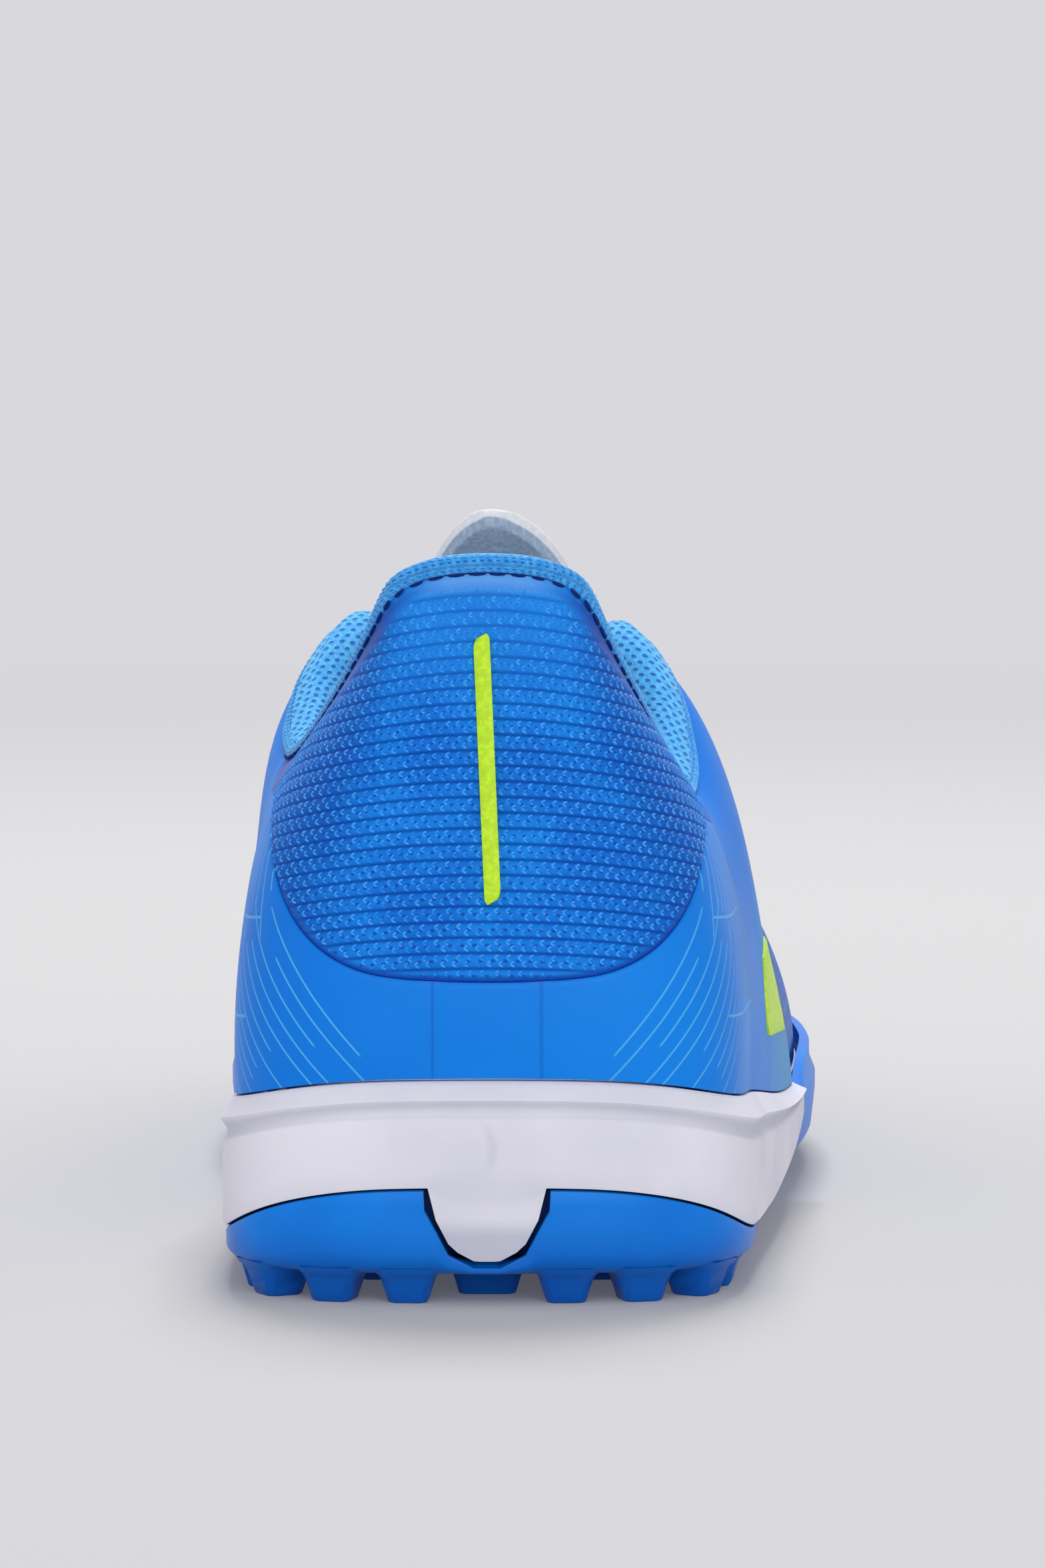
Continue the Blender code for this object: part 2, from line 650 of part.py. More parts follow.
def build_midsole(material):
    """Foam midsole: bevelled lip, set-back band, lower band with the heel wedge, and the foot bed."""
    places = ring_places(sole_places())
    body = Body()

    def low_edge(place):
        return min(cup_z(place, WEDGE_GAP), feather_z(place) - LIP_ABOVE_CUP) + CLEARANCE

    def band(place, share):
        foot = min(cup_line(place), feather_z(place) - LIP_ABOVE_CUP) + CLEARANCE
        return feather_z(place) - share * (feather_z(place) - foot)

    def ring(inset_at, height_at):
        return body.ring([inset_point(p, inset_at(p), height_at(p)) for p in places])

    def drawn_back(place, inset, height):
        """Inset of the side, which draws back behind the cup where the cup covers it."""
        hidden = cup_inner(place, height) + CLEARANCE
        return hidden + (inset - hidden) * shows(place)

    def side_ring(inset, share):
        return ring(lambda p: drawn_back(p, inset, band(p, share)), lambda p: band(p, share))

    def foot_ring():
        return ring(lambda p: drawn_back(p, wall_inset(p, low_edge(p)), low_edge(p)), low_edge)

    rings = [
        ring(lambda p: feather_inset(p) + WALL + BED_INSET, lambda p: bed_z(outline_y(p))),
        ring(lambda p: feather_inset(p) + WALL + 2.0 * CLEARANCE, feather_z),
        side_ring(LIP_RECESS, 0.0),
        side_ring(0.0, LIP_EDGE),
        side_ring(LIP_UNDERCUT, LIP_FOOT),
        side_ring(LIP_UNDERCUT, BAND_TOP - BAND_BEVEL),
        side_ring(BAND_INSET, BAND_TOP),
        foot_ring(),
        ring(lambda p: cup_inner(p, cup_line(p)) + CLEARANCE + CUP_DRAFT * (1.0 - shows(p)),
             lambda p: low_edge(p) - CLEARANCE * (1.0 - shows(p))),
        ring(lambda p: cup_inner(p, plate_top(p)) + 2.0 * CLEARANCE,
             lambda p: plate_top(p) + 2.0 * CLEARANCE),
    ]
    for upper, lower in zip(rings, rings[1:]):
        body.join(lower, upper)
    body.cap(rings[0], up=True)
    body.cap(rings[-1], up=False)
    return body.make("midsole", material, 25.0)


def build_insole(material):
    """Foam insole on the foot bed, inside the upper's inner face."""
    places = ring_places()
    body = Body()

    def edge(place):
        return feather_inset(place) + WALL + BED_INSET + CLEARANCE

    def ring(inset_at, lift):
        return body.ring([inset_point(p, inset_at(p), bed_z(outline_y(p)) + lift) for p in places])

    rings = [
        ring(lambda p: edge(p) + INSOLE_ROUND, CLEARANCE + INSOLE_THICKNESS),
        ring(edge, CLEARANCE + INSOLE_THICKNESS - 0.75 * INSOLE_ROUND),
        ring(edge, CLEARANCE),
    ]
    for upper, lower in zip(rings, rings[1:]):
        body.join(lower, upper)
    body.cap(rings[0], up=True)
    body.cap(rings[-1], up=False)
    return body.make("insole", material)


def upper_shares(place):
    """Shares along the side, with a pair of rows at the heel panel's edge."""
    edge = share_at_height(place, panel_share(place))
    start = edge + PANEL_EDGE[1]
    below = [edge * i / ROWS_BELOW for i in range(ROWS_BELOW)]
    above = [start + (1.0 - start) * i / ROWS_ABOVE for i in range(ROWS_ABOVE + 1)]
    return below + [edge + PANEL_EDGE[0]] + above


def panel_inset(place):
    return PANEL_STEP * (1.0 - smooth(abs(place), *PANEL_ENDS))


def build_upper(material):
    """Hollow upper: its outer face, an inner face a wall thickness inside, and rims round both openings."""
    places = ring_places(upper_places())
    body = Body()
    outer = []
    inner = []
    for place in places:
        shares = upper_shares(place)
        outer_column = []
        inner_column = []
        for j, share in enumerate(shares):
            point = upper_point(place, share)
            on_ridge = abs(place) >= VAMP_ROW and share > 0.999
            normal = ridge_normal(place) if on_ridge else upper_normal(place, share)
            if j == 0:
                normal = normal * np.array([1.0, 1.0, 0.0])
            outset = panel_inset(place) if j > ROWS_BELOW else 0.0
            outer_column.append(body.point(point - normal * outset))
            inner_column.append(body.point(point - normal * wall_at(place, share)))
        outer.append(outer_column)
        inner.append(inner_column)
    rows = len(outer[0])
    for j in range(rows - 1):
        body.join([c[j] for c in outer], [c[j + 1] for c in outer])
        body.join([c[j + 1] for c in inner], [c[j] for c in inner])
    body.join([c[0] for c in inner], [c[0] for c in outer])
    close_rim(body, places, [c[-1] for c in outer], [c[-1] for c in inner])
    return body.make("upper", material, 50.0)


def close_rim(body, places, outer, inner):
    """Rolled rim of the collar and throat, from the outer face's edge to the inner face's."""
    middle = []
    for place, a, b in zip(places, outer, inner):
        roll = CLEARANCE + COLLAR_ROLL * (1.0 - smooth(abs(place), *COLLAR_ENDS))
        point = 0.5 * (body.points[a] + body.points[b]) + np.array([0.0, 0.0, roll])
        middle.append(body.point(point) if abs(place) < VAMP_ROW else None)
    for i in range(len(places) - 1):
        near, far = middle[i], middle[i + 1]
        if near is None and far is None:
            continue
        if far is None:
            body.face(outer[i], outer[i + 1], near)
            body.face(near, inner[i + 1], inner[i])
            body.face(near, outer[i + 1], inner[i + 1])
        elif near is None:
            body.face(outer[i], outer[i + 1], far)
            body.face(far, inner[i + 1], inner[i])
            body.face(outer[i], far, inner[i])
        else:
            body.face(outer[i], outer[i + 1], far, near)
            body.face(near, far, inner[i + 1], inner[i])


def ridge_normal(place):
    """Normal of the ridge or of the toe's crown, alike on both sides of it, read just below."""
    below = 0.97
    at_crown = abs(top_y(place) - LENGTH * TOP_LINE[-1].along) < 1e-6
    around = [LAST_ROW - 2.0, LAST_ROW - 1.0, LAST_ROW - 0.4] if at_crown else [place]
    total = sum(upper_normal(spot, below) + upper_normal(-spot, below) for spot in around)
    if at_crown:
        total[0] = 0.0
    return total / np.linalg.norm(total)


def bridge(row):
    """Points across the open throat between its two edges, rising as the upper's sides do."""
    _, _, medial_in, medial = upper_profile(-row)
    _, _, lateral_in, lateral = upper_profile(row)
    reach = THROAT_CROWN * np.linalg.norm(lateral - medial)
    first = medial + reach * (medial - medial_in) / np.linalg.norm(medial - medial_in)
    second = lateral + reach * (lateral - lateral_in) / np.linalg.norm(lateral - lateral_in)
    points = []
    for i in range(BRIDGE_POINTS + 1):
        f = i / BRIDGE_POINTS
        r = 1.0 - f
        points.append(r ** 3 * medial + 3 * r * r * f * first + 3 * r * f * f * second + f ** 3 * lateral)
    return points


def arch_line(row):
    """Points over the instep from the medial side to the lateral, and their distances from its middle."""
    medial = [upper_point(-row, share) for share in np.linspace(0.55, 1.0, SIDE_POINTS)]
    lateral = [upper_point(row, share) for share in np.linspace(1.0, 0.55, SIDE_POINTS)]
    middle = bridge(row)[1:-1] if row < VAMP_ROW else []
    points = np.array(medial + middle + (lateral if middle else lateral[1:]))
    lengths = np.concatenate([[0.0], np.cumsum(np.linalg.norm(np.diff(points, axis=0), axis=1))])
    half_open = 0.5 * (lengths[len(medial) - 1] + lengths[len(lengths) - len(lateral)])
    return points, lengths - half_open


def arch_point(row, across):
    points, distances = arch_line(row)
    return np.array([np.interp(across, distances, points[:, k]) for k in range(3)])


def arch_normal(row, across):
    step = 0.05
    reach = 0.0008
    along = arch_point(row + step, across) - arch_point(row - step, across)
    over = arch_point(row, across + reach) - arch_point(row, across - reach)
    normal = np.cross(over, along)
    return normal / np.linalg.norm(normal)


def half_throat(row):
    """Half the width of the open throat, measured over the arch."""
    return -arch_line(row)[1][SIDE_POINTS - 1]


def sheet_body(body, top_rows, bottom_rows):
    """Close two grids of points, a top and a bottom one, into a sheet with thickness."""
    top = [[body.point(xyz) for xyz in row] for row in top_rows]
    bottom = [[body.point(xyz) for xyz in row] for row in bottom_rows]
    for a, b in zip(top, top[1:]):
        for i in range(len(a) - 1):
            body.face(a[i], a[i + 1], b[i + 1], b[i])
    for a, b in zip(bottom, bottom[1:]):
        for i in range(len(a) - 1):
            body.face(b[i], b[i + 1], a[i + 1], a[i])

    def edge(grid):
        return grid[0] + [row[-1] for row in grid[1:]] + grid[-1][-2::-1] + [row[0] for row in grid[-2:0:-1]]

    body.join(edge(bottom), edge(top))


def build_tongue(material):
    """Padded tongue: it follows the upper's inner face along the throat and rises over the collar."""
    body = Body()
    top_rows, low_rows = [], []
    for row in TONGUE_ROWS:
        half = half_throat(row) + TONGUE_LAP
        top, low = [], []
        for i in range(TONGUE_COLUMNS + 1):
            across = half * (2.0 * i / TONGUE_COLUMNS - 1.0)
            point, normal = arch_point(row, across), arch_normal(row, across)
            depth = WALL + TONGUE_GAP
            top.append(point - normal * depth)
            low.append(point - normal * (depth + TONGUE_THICKNESS))
        top_rows.append(top)
        low_rows.append(low)
    way = np.array([0.0, -math.cos(TONGUE_LEAN), math.sin(TONGUE_LEAN)])
    base_top, base_low = top_rows[0], low_rows[0]
    for flap in FLAP[::-1]:
        top, low = [], []
        for i in range(TONGUE_COLUMNS + 1):
            share = 2.0 * i / TONGUE_COLUMNS - 1.0
            reach = share * (flap.medial if share < 0 else flap.lateral)
            spot = (reach + 1.0) * 0.5 * TONGUE_COLUMNS
            for rows, base in ((top, base_top), (low, base_low)):
                columns = range(TONGUE_COLUMNS + 1)
                point = np.array([np.interp(spot, columns, [p[k] for p in base]) for k in range(3)])
                rows.append(point + way * TONGUE_RISE * flap.rise)
        top_rows.insert(0, top)
        low_rows.insert(0, low)
    sheet_body(body, top_rows, low_rows)
    return body.make("tongue", material, 50.0)


def eyelet_rows():
    """Rows of the eyelet pairs, evenly spaced along the shoe."""
    along = np.linspace(EYELET_FIRST * LENGTH, EYELET_LAST * LENGTH, EYELET_PAIRS)
    return [float(np.interp(y, THROAT_Y, THROAT_ROWS)) for y in along]


def build_eyelets(material):
    """Flat rings on the throat's edges, a pair for each crossing's end."""
    for i, row in enumerate(eyelet_rows()):
        for side, name in ((-1.0, "medial"), (1.0, "lateral")):
            across = side * (half_throat(row) + EYELET_SETBACK)
            centre, normal = arch_point(row, across), arch_normal(row, across)
            first = np.cross(normal, np.array([0.0, 1.0, 0.0]))
            first = first / np.linalg.norm(first)
            second = np.cross(normal, first)
            turns = [2.0 * math.pi * k / EYELET_SIDES for k in range(EYELET_SIDES)]
            spokes = [first * math.cos(turn) + second * math.sin(turn) for turn in turns]
            body = Body()
            rings = []
            for radius, lift in zip(EYELET_SECTION_RADII, EYELET_SECTION_LIFTS):
                base = centre + normal * (EYELET_LIFT + lift)
                rings.append(body.ring([base + radius * spoke for spoke in spokes]))
            for lower, upper in zip(rings, rings[1:] + rings[:1]):
                body.join(lower, upper)
            body.make("eyelet_%s_%d" % (name, i + 1), material)


def build_lace(material):
    """Lace bars: a flat band over the tongue from the medial eyelet of each pair to the lateral one."""
    lift = EYELET_LIFT + EYELET_THICKNESS + LACE_LIFT
    for i, row in enumerate(eyelet_rows()):
        body = Body()
        reach = half_throat(row) + EYELET_SETBACK + 0.5 * EYELET_RADIUS
        lines = {}
        spots = [reach * (2.0 * k / LACE_STEPS - 1.0) for k in range(LACE_STEPS + 1)]
        for edge in (-0.5, 0.5):
            y = top_y(row) - edge * LACE_WIDTH
            edge_row = float(np.interp(y, THROAT_Y, THROAT_ROWS))
            for height in (0.0, LACE_THICKNESS):
                out = lift + height
                lines[edge, height] = [arch_point(edge_row, spot) + arch_normal(edge_row, spot) * out
                                       for spot in spots]
        sheet_body(body, [lines[0.5, LACE_THICKNESS], lines[-0.5, LACE_THICKNESS]],
                   [lines[0.5, 0.0], lines[-0.5, 0.0]])
        body.make("lace_bar_%d" % (i + 1), material)


def build_all():
    """Clear the scene, then make each material and the pieces that use it."""
    for piece in list(bpy.data.objects):
        bpy.data.objects.remove(piece, do_unlink=True)
    rubber = make_material("outsole rubber", (0.018, 0.19, 0.66), 0.42)
    foam = make_material("midsole foam", (0.70, 0.70, 0.80), 0.60)
    knit = make_material("upper knit", (0.010, 0.18, 0.68), 0.55)
    board = make_material("insole board", (0.05, 0.14, 0.35), 0.85)
    pad = make_material("tongue cloth", (0.62, 0.68, 0.72), 0.80)
    eyelet = make_material("eyelet ring", (0.02, 0.14, 0.50), 0.50)
    lace = make_material("lace", (0.80, 0.82, 0.84), 0.75)
    build_outsole(rubber)
    build_midsole(foam)
    build_insole(board)
    build_upper(knit)
    build_tongue(pad)
    build_eyelets(eyelet)
    build_lace(lace)


build_all()
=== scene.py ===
"""Looks of the right-foot turf football shoe: ribbed knit heel, coated quarters, padded collar with a
knit binding, white tongue and lace, foam midsole and a blue rubber outsole with lugs.

Metres. Sizes and tables repeat the model's own; the shoe is worked out in a heel frame, with y = 0 at
the back of the heel and x = 0 on its centre line, and every mesh is then moved to the shoe's frame.
A place is a spot round the shoe: 0 at the back of the heel, minus rows along the medial side and plus
rows along the lateral side, to the tip of the toe. A share is a spot up the side, from sole to top line.
"""
import math
from collections import namedtuple

import bmesh
import bpy
import numpy as np
from mathutils import Matrix, Vector


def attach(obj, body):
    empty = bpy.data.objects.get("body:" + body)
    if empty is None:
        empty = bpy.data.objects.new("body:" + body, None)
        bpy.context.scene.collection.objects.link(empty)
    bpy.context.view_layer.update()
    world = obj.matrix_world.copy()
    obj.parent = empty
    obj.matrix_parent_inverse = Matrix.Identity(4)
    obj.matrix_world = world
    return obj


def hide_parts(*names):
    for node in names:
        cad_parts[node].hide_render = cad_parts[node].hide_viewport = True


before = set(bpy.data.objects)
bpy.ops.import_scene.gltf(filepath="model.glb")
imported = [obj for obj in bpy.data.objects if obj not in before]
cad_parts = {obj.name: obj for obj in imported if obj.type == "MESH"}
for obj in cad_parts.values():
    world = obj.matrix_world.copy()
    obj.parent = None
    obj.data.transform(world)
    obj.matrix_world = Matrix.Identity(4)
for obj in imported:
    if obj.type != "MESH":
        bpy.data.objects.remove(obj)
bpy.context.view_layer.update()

# Driving sizes of the last and the sole
LENGTH = 0.284
HEEL_WIDTH = 0.079
WAIST_WIDTH = 0.084
BALL_WIDTH = 0.097
COLLAR_WIDTH = 0.057
THROAT_WIDTH = 0.022
COLLAR_HEIGHT = 0.1035
VAMP_HEIGHT = 0.0622
TOE_HEIGHT = 0.0439
HEEL_STACK = 0.0315
FORE_STACK = 0.0174
HEEL_CUP = 0.0164
FORE_CUP = 0.0205
HEEL_BED = 0.0240
FORE_BED = 0.0156
TOE_SPRING = 0.0100
ARCH_LIFT = 0.0020

# Walls, clearances and small forms
CLEARANCE = 0.0003
WALL = 0.0022
COLLAR_PAD = 0.0034
COLLAR_ROLL = 0.0012
PANEL_STEP = 0.0006
FEATHER_INSET = 0.0023
LIP_RECESS = 0.0018
LIP_UNDERCUT = 0.0011
BAND_INSET = 0.0004
CUP_WALL = 0.0016
CUP_TOP_INSET = 0.0012
CUP_DRAFT = 0.0012
PLATE = 0.0020
EDGE_ROUND = 0.0030
BED_INSET = 0.0045
LIP_ROOM = 0.0018
LIP_FADE = 0.0045
LIP_ABOVE_CUP = 0.00144
LIP_EDGE = 0.17
LIP_FOOT = 0.26
BAND_TOP = 0.34
BAND_BEVEL = 0.03
INSOLE_THICKNESS = 0.0030
TONGUE_THICKNESS = 0.0034
TONGUE_LAP = 0.0090
TONGUE_GAP = 0.0010
TONGUE_RISE = 0.0320
TONGUE_LEAN = math.radians(46.0)

# White wedge of the midsole in the back of the outsole
WEDGE_HALF_WIDTH = 0.0089
WEDGE_DEPTH = 0.0110
WEDGE_GAP = 0.0006
WEDGE_ACROSS = [0.0, 0.21, 0.61, 0.985, 1.0]
WEDGE_DOWN = [1.0, 1.0, 0.83, 0.26, 0.0]

# Lugs
LUG_HEIGHT = 0.0043
LUG_ROOT = 0.0085
LUG_FOOT = 0.0055
LUG_PITCH = 0.0106
LUG_START = 0.0110
INNER_PITCH = 0.0160
INNER_START = 0.0312
TOE_BARE = 0.0220
HEEL_LUG_WIDTH = 0.01105
HEEL_LUG_BACK = 0.0162
LUG_EDGE = 0.0062
LUG_SUNK = 0.0008
LUG_SPACING = 1.3
LUG_BARE = [0.275, 0.425]

# Eyelets and lace
EYELET_PAIRS = 5
EYELET_RADIUS = 0.0031
EYELET_HOLE = 0.0016
EYELET_THICKNESS = 0.0007
EYELET_LIFT = 0.00065
EYELET_SETBACK = 0.0058
EYELET_FIRST = 0.435
EYELET_LAST = 0.590
THROAT_CROWN = 0.42
LACE_LIFT = 0.00045
LACE_WIDTH = 0.0056
LACE_THICKNESS = 0.0011

# Shares of LENGTH between which the toe lifts, the arch rises and falls, and the bed comes down
TOE_LIFTS = 0.72
ARCH_RISES = [0.20, 0.34]
ARCH_FALLS = [0.40, 0.52]
BED_FALLS = [0.22, 0.52]

# Rows between which the collar's padding and the heel panel's step run out, and shares where padding grows
COLLAR_ENDS = [7.6, 8.8]
PANEL_ENDS = [4.6, 5.6]
PAD_GROWS = [0.50, 0.82]

# The most of a low cup that the outsole's rounded lower edge may take
ROUND_MOST = 0.45

# The sole's outline, from the back of the heel to the tip of the toe: shares of LENGTH and of a width
Outline = namedtuple("Outline", "along width medial lateral")
OUTLINE = [
    Outline(0.0000, HEEL_WIDTH, 0.000, 0.000),
    Outline(0.0022, HEEL_WIDTH, 0.178, 0.178),
    Outline(0.0092, HEEL_WIDTH, 0.314, 0.314),
    Outline(0.0290, HEEL_WIDTH, 0.422, 0.422),
    Outline(0.0690, HEEL_WIDTH, 0.480, 0.482),
    Outline(0.1480, HEEL_WIDTH, 0.489, 0.509),
    Outline(0.2180, HEEL_WIDTH, 0.485, 0.537),
    Outline(0.2890, WAIST_WIDTH, 0.445, 0.533),
    Outline(0.3590, WAIST_WIDTH, 0.438, 0.560),
    Outline(0.4300, WAIST_WIDTH, 0.440, 0.586),
    Outline(0.5140, BALL_WIDTH, 0.406, 0.531),
    Outline(0.5920, BALL_WIDTH, 0.437, 0.547),
    Outline(0.6340, BALL_WIDTH, 0.446, 0.551),
    Outline(0.7040, BALL_WIDTH, 0.449, 0.546),
    Outline(0.7820, BALL_WIDTH, 0.443, 0.513),
    Outline(0.8560, BALL_WIDTH, 0.412, 0.439),
    Outline(0.9190, BALL_WIDTH, 0.351, 0.340),
    Outline(0.9650, BALL_WIDTH, 0.263, 0.216),
    Outline(0.9910, BALL_WIDTH, 0.144, 0.088),
    Outline(1.0000, BALL_WIDTH, 0.041, -0.041),
]

# The upper's top line: collar, throat, then the ridge of the vamp and the crown of the toe
TopLine = namedtuple("TopLine", "along width medial lateral height high_medial high_lateral")
TOP_LINE = [
    TopLine(0.0387, COLLAR_WIDTH, 0.000, 0.000, COLLAR_HEIGHT, 1.000, 1.000),
    TopLine(0.0394, COLLAR_WIDTH, 0.119, 0.119, COLLAR_HEIGHT, 0.995, 0.995),
    TopLine(0.0444, COLLAR_WIDTH, 0.221, 0.221, COLLAR_HEIGHT, 0.972, 0.972),
    TopLine(0.0670, COLLAR_WIDTH, 0.279, 0.282, COLLAR_HEIGHT, 0.907, 0.903),
    TopLine(0.1160, COLLAR_WIDTH, 0.374, 0.386, COLLAR_HEIGHT, 0.804, 0.781),
    TopLine(0.1830, COLLAR_WIDTH, 0.472, 0.481, COLLAR_HEIGHT, 0.718, 0.674),
    TopLine(0.2390, COLLAR_WIDTH, 0.495, 0.502, COLLAR_HEIGHT, 0.707, 0.649),
    TopLine(0.2920, COLLAR_WIDTH, 0.484, 0.491, COLLAR_HEIGHT, 0.780, 0.746),
    TopLine(0.3420, COLLAR_WIDTH, 0.360, 0.368, COLLAR_HEIGHT, 0.883, 0.869),
    TopLine(0.4120, THROAT_WIDTH, 0.600, 0.636, COLLAR_HEIGHT, 0.810, 0.810),
    TopLine(0.5070, THROAT_WIDTH, 0.464, 0.536, VAMP_HEIGHT, 1.175, 1.175),
    TopLine(0.5850, THROAT_WIDTH, 0.364, 0.464, VAMP_HEIGHT, 1.061, 1.061),
    TopLine(0.6230, THROAT_WIDTH, -0.068, 0.068, VAMP_HEIGHT, 1.000, 1.000),
    TopLine(0.7040, THROAT_WIDTH, -0.091, 0.091, VAMP_HEIGHT, 0.900, 0.900),
    TopLine(0.7820, THROAT_WIDTH, -0.045, 0.045, VAMP_HEIGHT, 0.793, 0.793),
    TopLine(0.8380, THROAT_WIDTH, 0.045, -0.045, TOE_HEIGHT, 1.000, 1.000),
    TopLine(0.8380, THROAT_WIDTH, 0.045, -0.045, TOE_HEIGHT, 1.000, 1.000),
    TopLine(0.8380, THROAT_WIDTH, 0.045, -0.045, TOE_HEIGHT, 1.000, 1.000),
    TopLine(0.8380, THROAT_WIDTH, 0.045, -0.045, TOE_HEIGHT, 1.000, 1.000),
    TopLine(0.8380, THROAT_WIDTH, 0.045, -0.045, TOE_HEIGHT, 1.000, 1.000),
]
VAMP_ROW = 12

# How the upper's side leaves the sole and reaches its top line: degrees, and shares of the rise and span
Side = namedtuple("Side", "low_lean low_reach top_lean top_reach panel")
SIDE = [
    Side(11, 0.35, 4, 0.35, 0.188),
    Side(11, 0.35, 4, 0.35, 0.200),
    Side(10, 0.36, 6, 0.33, 0.274),
    Side(8, 0.42, 22, 0.28, 0.442),
    Side(5, 0.50, 50, 0.22, 0.690),
    Side(2, 0.58, 74, 0.17, 0.890),
    Side(0, 0.56, 76, 0.17, 0.900),
    Side(-2, 0.48, 66, 0.18, 0.900),
    Side(-4, 0.42, 58, 0.22, 0.900),
    Side(-5, 0.40, 62, 0.26, 0.900),
    Side(-3, 0.40, 70, 0.34, 0.900),
    Side(-1, 0.42, 76, 0.42, 0.900),
    Side(0, 0.46, 84, 0.46, 0.900),
    Side(0, 0.52, 88, 0.52, 0.900),
    Side(0, 0.56, 90, 0.54, 0.900),
    Side(0, 0.62, 90, 0.54, 0.900),
    Side(2, 0.74, 86, 0.52, 0.900),
    Side(3, 0.84, 80, 0.50, 0.900),
    Side(4, 0.92, 76, 0.50, 0.900),
    Side(4, 0.92, 74, 0.50, 0.900),
]

# The sole's side: top line and cup line as shares of their stacks, and how far its foot is tucked in
Sole = namedtuple("Sole", "stack feather cup_stack cup tuck")
SOLE = [
    Sole(HEEL_STACK, 1.000, HEEL_CUP, 1.000, 0.0003),
    Sole(HEEL_STACK, 0.994, HEEL_CUP, 0.988, 0.0003),
    Sole(HEEL_STACK, 0.968, HEEL_CUP, 0.915, 0.0003),
    Sole(HEEL_STACK, 0.921, HEEL_CUP, 0.750, 0.0003),
    Sole(HEEL_STACK, 0.870, HEEL_CUP, 0.537, 0.0004),
    Sole(HEEL_STACK, 0.813, HEEL_CUP, 0.415, 0.0010),
    Sole(HEEL_STACK, 0.743, HEEL_CUP, 0.400, 0.0022),
    Sole(HEEL_STACK, 0.667, HEEL_CUP, 0.463, 0.0036),
    Sole(HEEL_STACK, 0.603, HEEL_CUP, 0.561, 0.0046),
    Sole(FORE_STACK, 1.023, HEEL_CUP, 0.756, 0.0040),
    Sole(FORE_STACK, 1.000, FORE_CUP, 0.966, 0.0025),
    Sole(FORE_STACK, 1.000, FORE_CUP, 0.990, 0.0015),
    Sole(FORE_STACK, 1.000, FORE_CUP, 0.990, 0.0015),
    Sole(FORE_STACK, 1.000, FORE_CUP, 0.990, 0.0015),
    Sole(FORE_STACK, 1.000, FORE_CUP, 1.000, 0.0015),
    Sole(FORE_STACK, 1.000, FORE_CUP, 1.000, 0.0015),
    Sole(FORE_STACK, 1.000, FORE_CUP, 1.005, 0.0015),
    Sole(FORE_STACK, 1.000, FORE_CUP, 1.010, 0.0015),
    Sole(FORE_STACK, 1.000, FORE_CUP, 1.015, 0.0015),
    Sole(FORE_STACK, 1.000, FORE_CUP, 1.015, 0.0015),
]

# The tongue's flap above the collar: shares of its rise, and of half the tongue's width to each side
Flap = namedtuple("Flap", "rise medial lateral")
FLAP = [
    Flap(1.00, 0.14, 0.16),
    Flap(0.95, 0.30, 0.38),
    Flap(0.80, 0.44, 0.52),
    Flap(0.50, 0.54, 0.56),
    Flap(0.22, 0.46, 0.48),
]

LAST_ROW = len(OUTLINE) - 1

# Density of the looks: spots between two rows of a table, and how far a curve is softened, in rows
FINE_STEPS = 14
SOFTEN = 0.35


def smooth(value, start, end):
    """Rise from 0 to 1 between start and end, with level ends."""
    share = np.clip((np.asarray(value, dtype=float) - start) / (end - start), 0.0, 1.0)
    return share * share * (3.0 - 2.0 * share)


def ring_column(medial, lateral):
    """Soft curve round the shoe through a column's rows, closed over the tip of the toe."""
    ring = np.array(lateral[-3:-1] + medial[:0:-1] + lateral + medial[-2:-4:-1], dtype=float)
    steps = np.diff(ring)
    slopes = np.zeros(len(ring))
    turns = steps[:-1] * steps[1:]
    rising = turns > 0
    slopes[1:-1][rising] = 2.0 * turns[rising] / (steps[:-1] + steps[1:])[rising]

    def curve(place):
        spot = np.asarray(place, dtype=float) + LAST_ROW + 2
        i = np.clip(np.floor(spot).astype(int), 0, len(ring) - 2)
        f = spot - i
        return (ring[i] + f * f * (3.0 - 2.0 * f) * steps[i] + (f - 2.0 * f * f + f ** 3) * slopes[i]
                + (f ** 3 - f * f) * slopes[i + 1])

    def softened(place):
        place = np.asarray(place, dtype=float)
        return 0.25 * curve(place - SOFTEN) + 0.5 * curve(place) + 0.25 * curve(place + SOFTEN)

    return softened


def both_sides(values):
    return ring_column(list(values), list(values))


def sides(medial, lateral):
    return ring_column([-value for value in medial], list(lateral))


outline_x = sides([row.width * row.medial for row in OUTLINE], [row.width * row.lateral for row in OUTLINE])
outline_y = both_sides([LENGTH * row.along for row in OUTLINE])
top_x = sides([row.width * row.medial for row in TOP_LINE], [row.width * row.lateral for row in TOP_LINE])
top_y = both_sides([LENGTH * row.along for row in TOP_LINE])
top_z = ring_column([row.height * row.high_medial for row in TOP_LINE],
                    [row.height * row.high_lateral for row in TOP_LINE])
low_lean = both_sides([math.radians(row.low_lean) for row in SIDE])
low_reach = both_sides([row.low_reach for row in SIDE])
top_lean = both_sides([math.radians(row.top_lean) for row in SIDE])
top_reach = both_sides([row.top_reach for row in SIDE])
panel_share = both_sides([row.panel for row in SIDE])
feather_base = both_sides([row.stack * row.feather for row in SOLE])
cup_base = both_sides([row.cup_stack * row.cup for row in SOLE])
tuck = both_sides([row.tuck for row in SOLE])

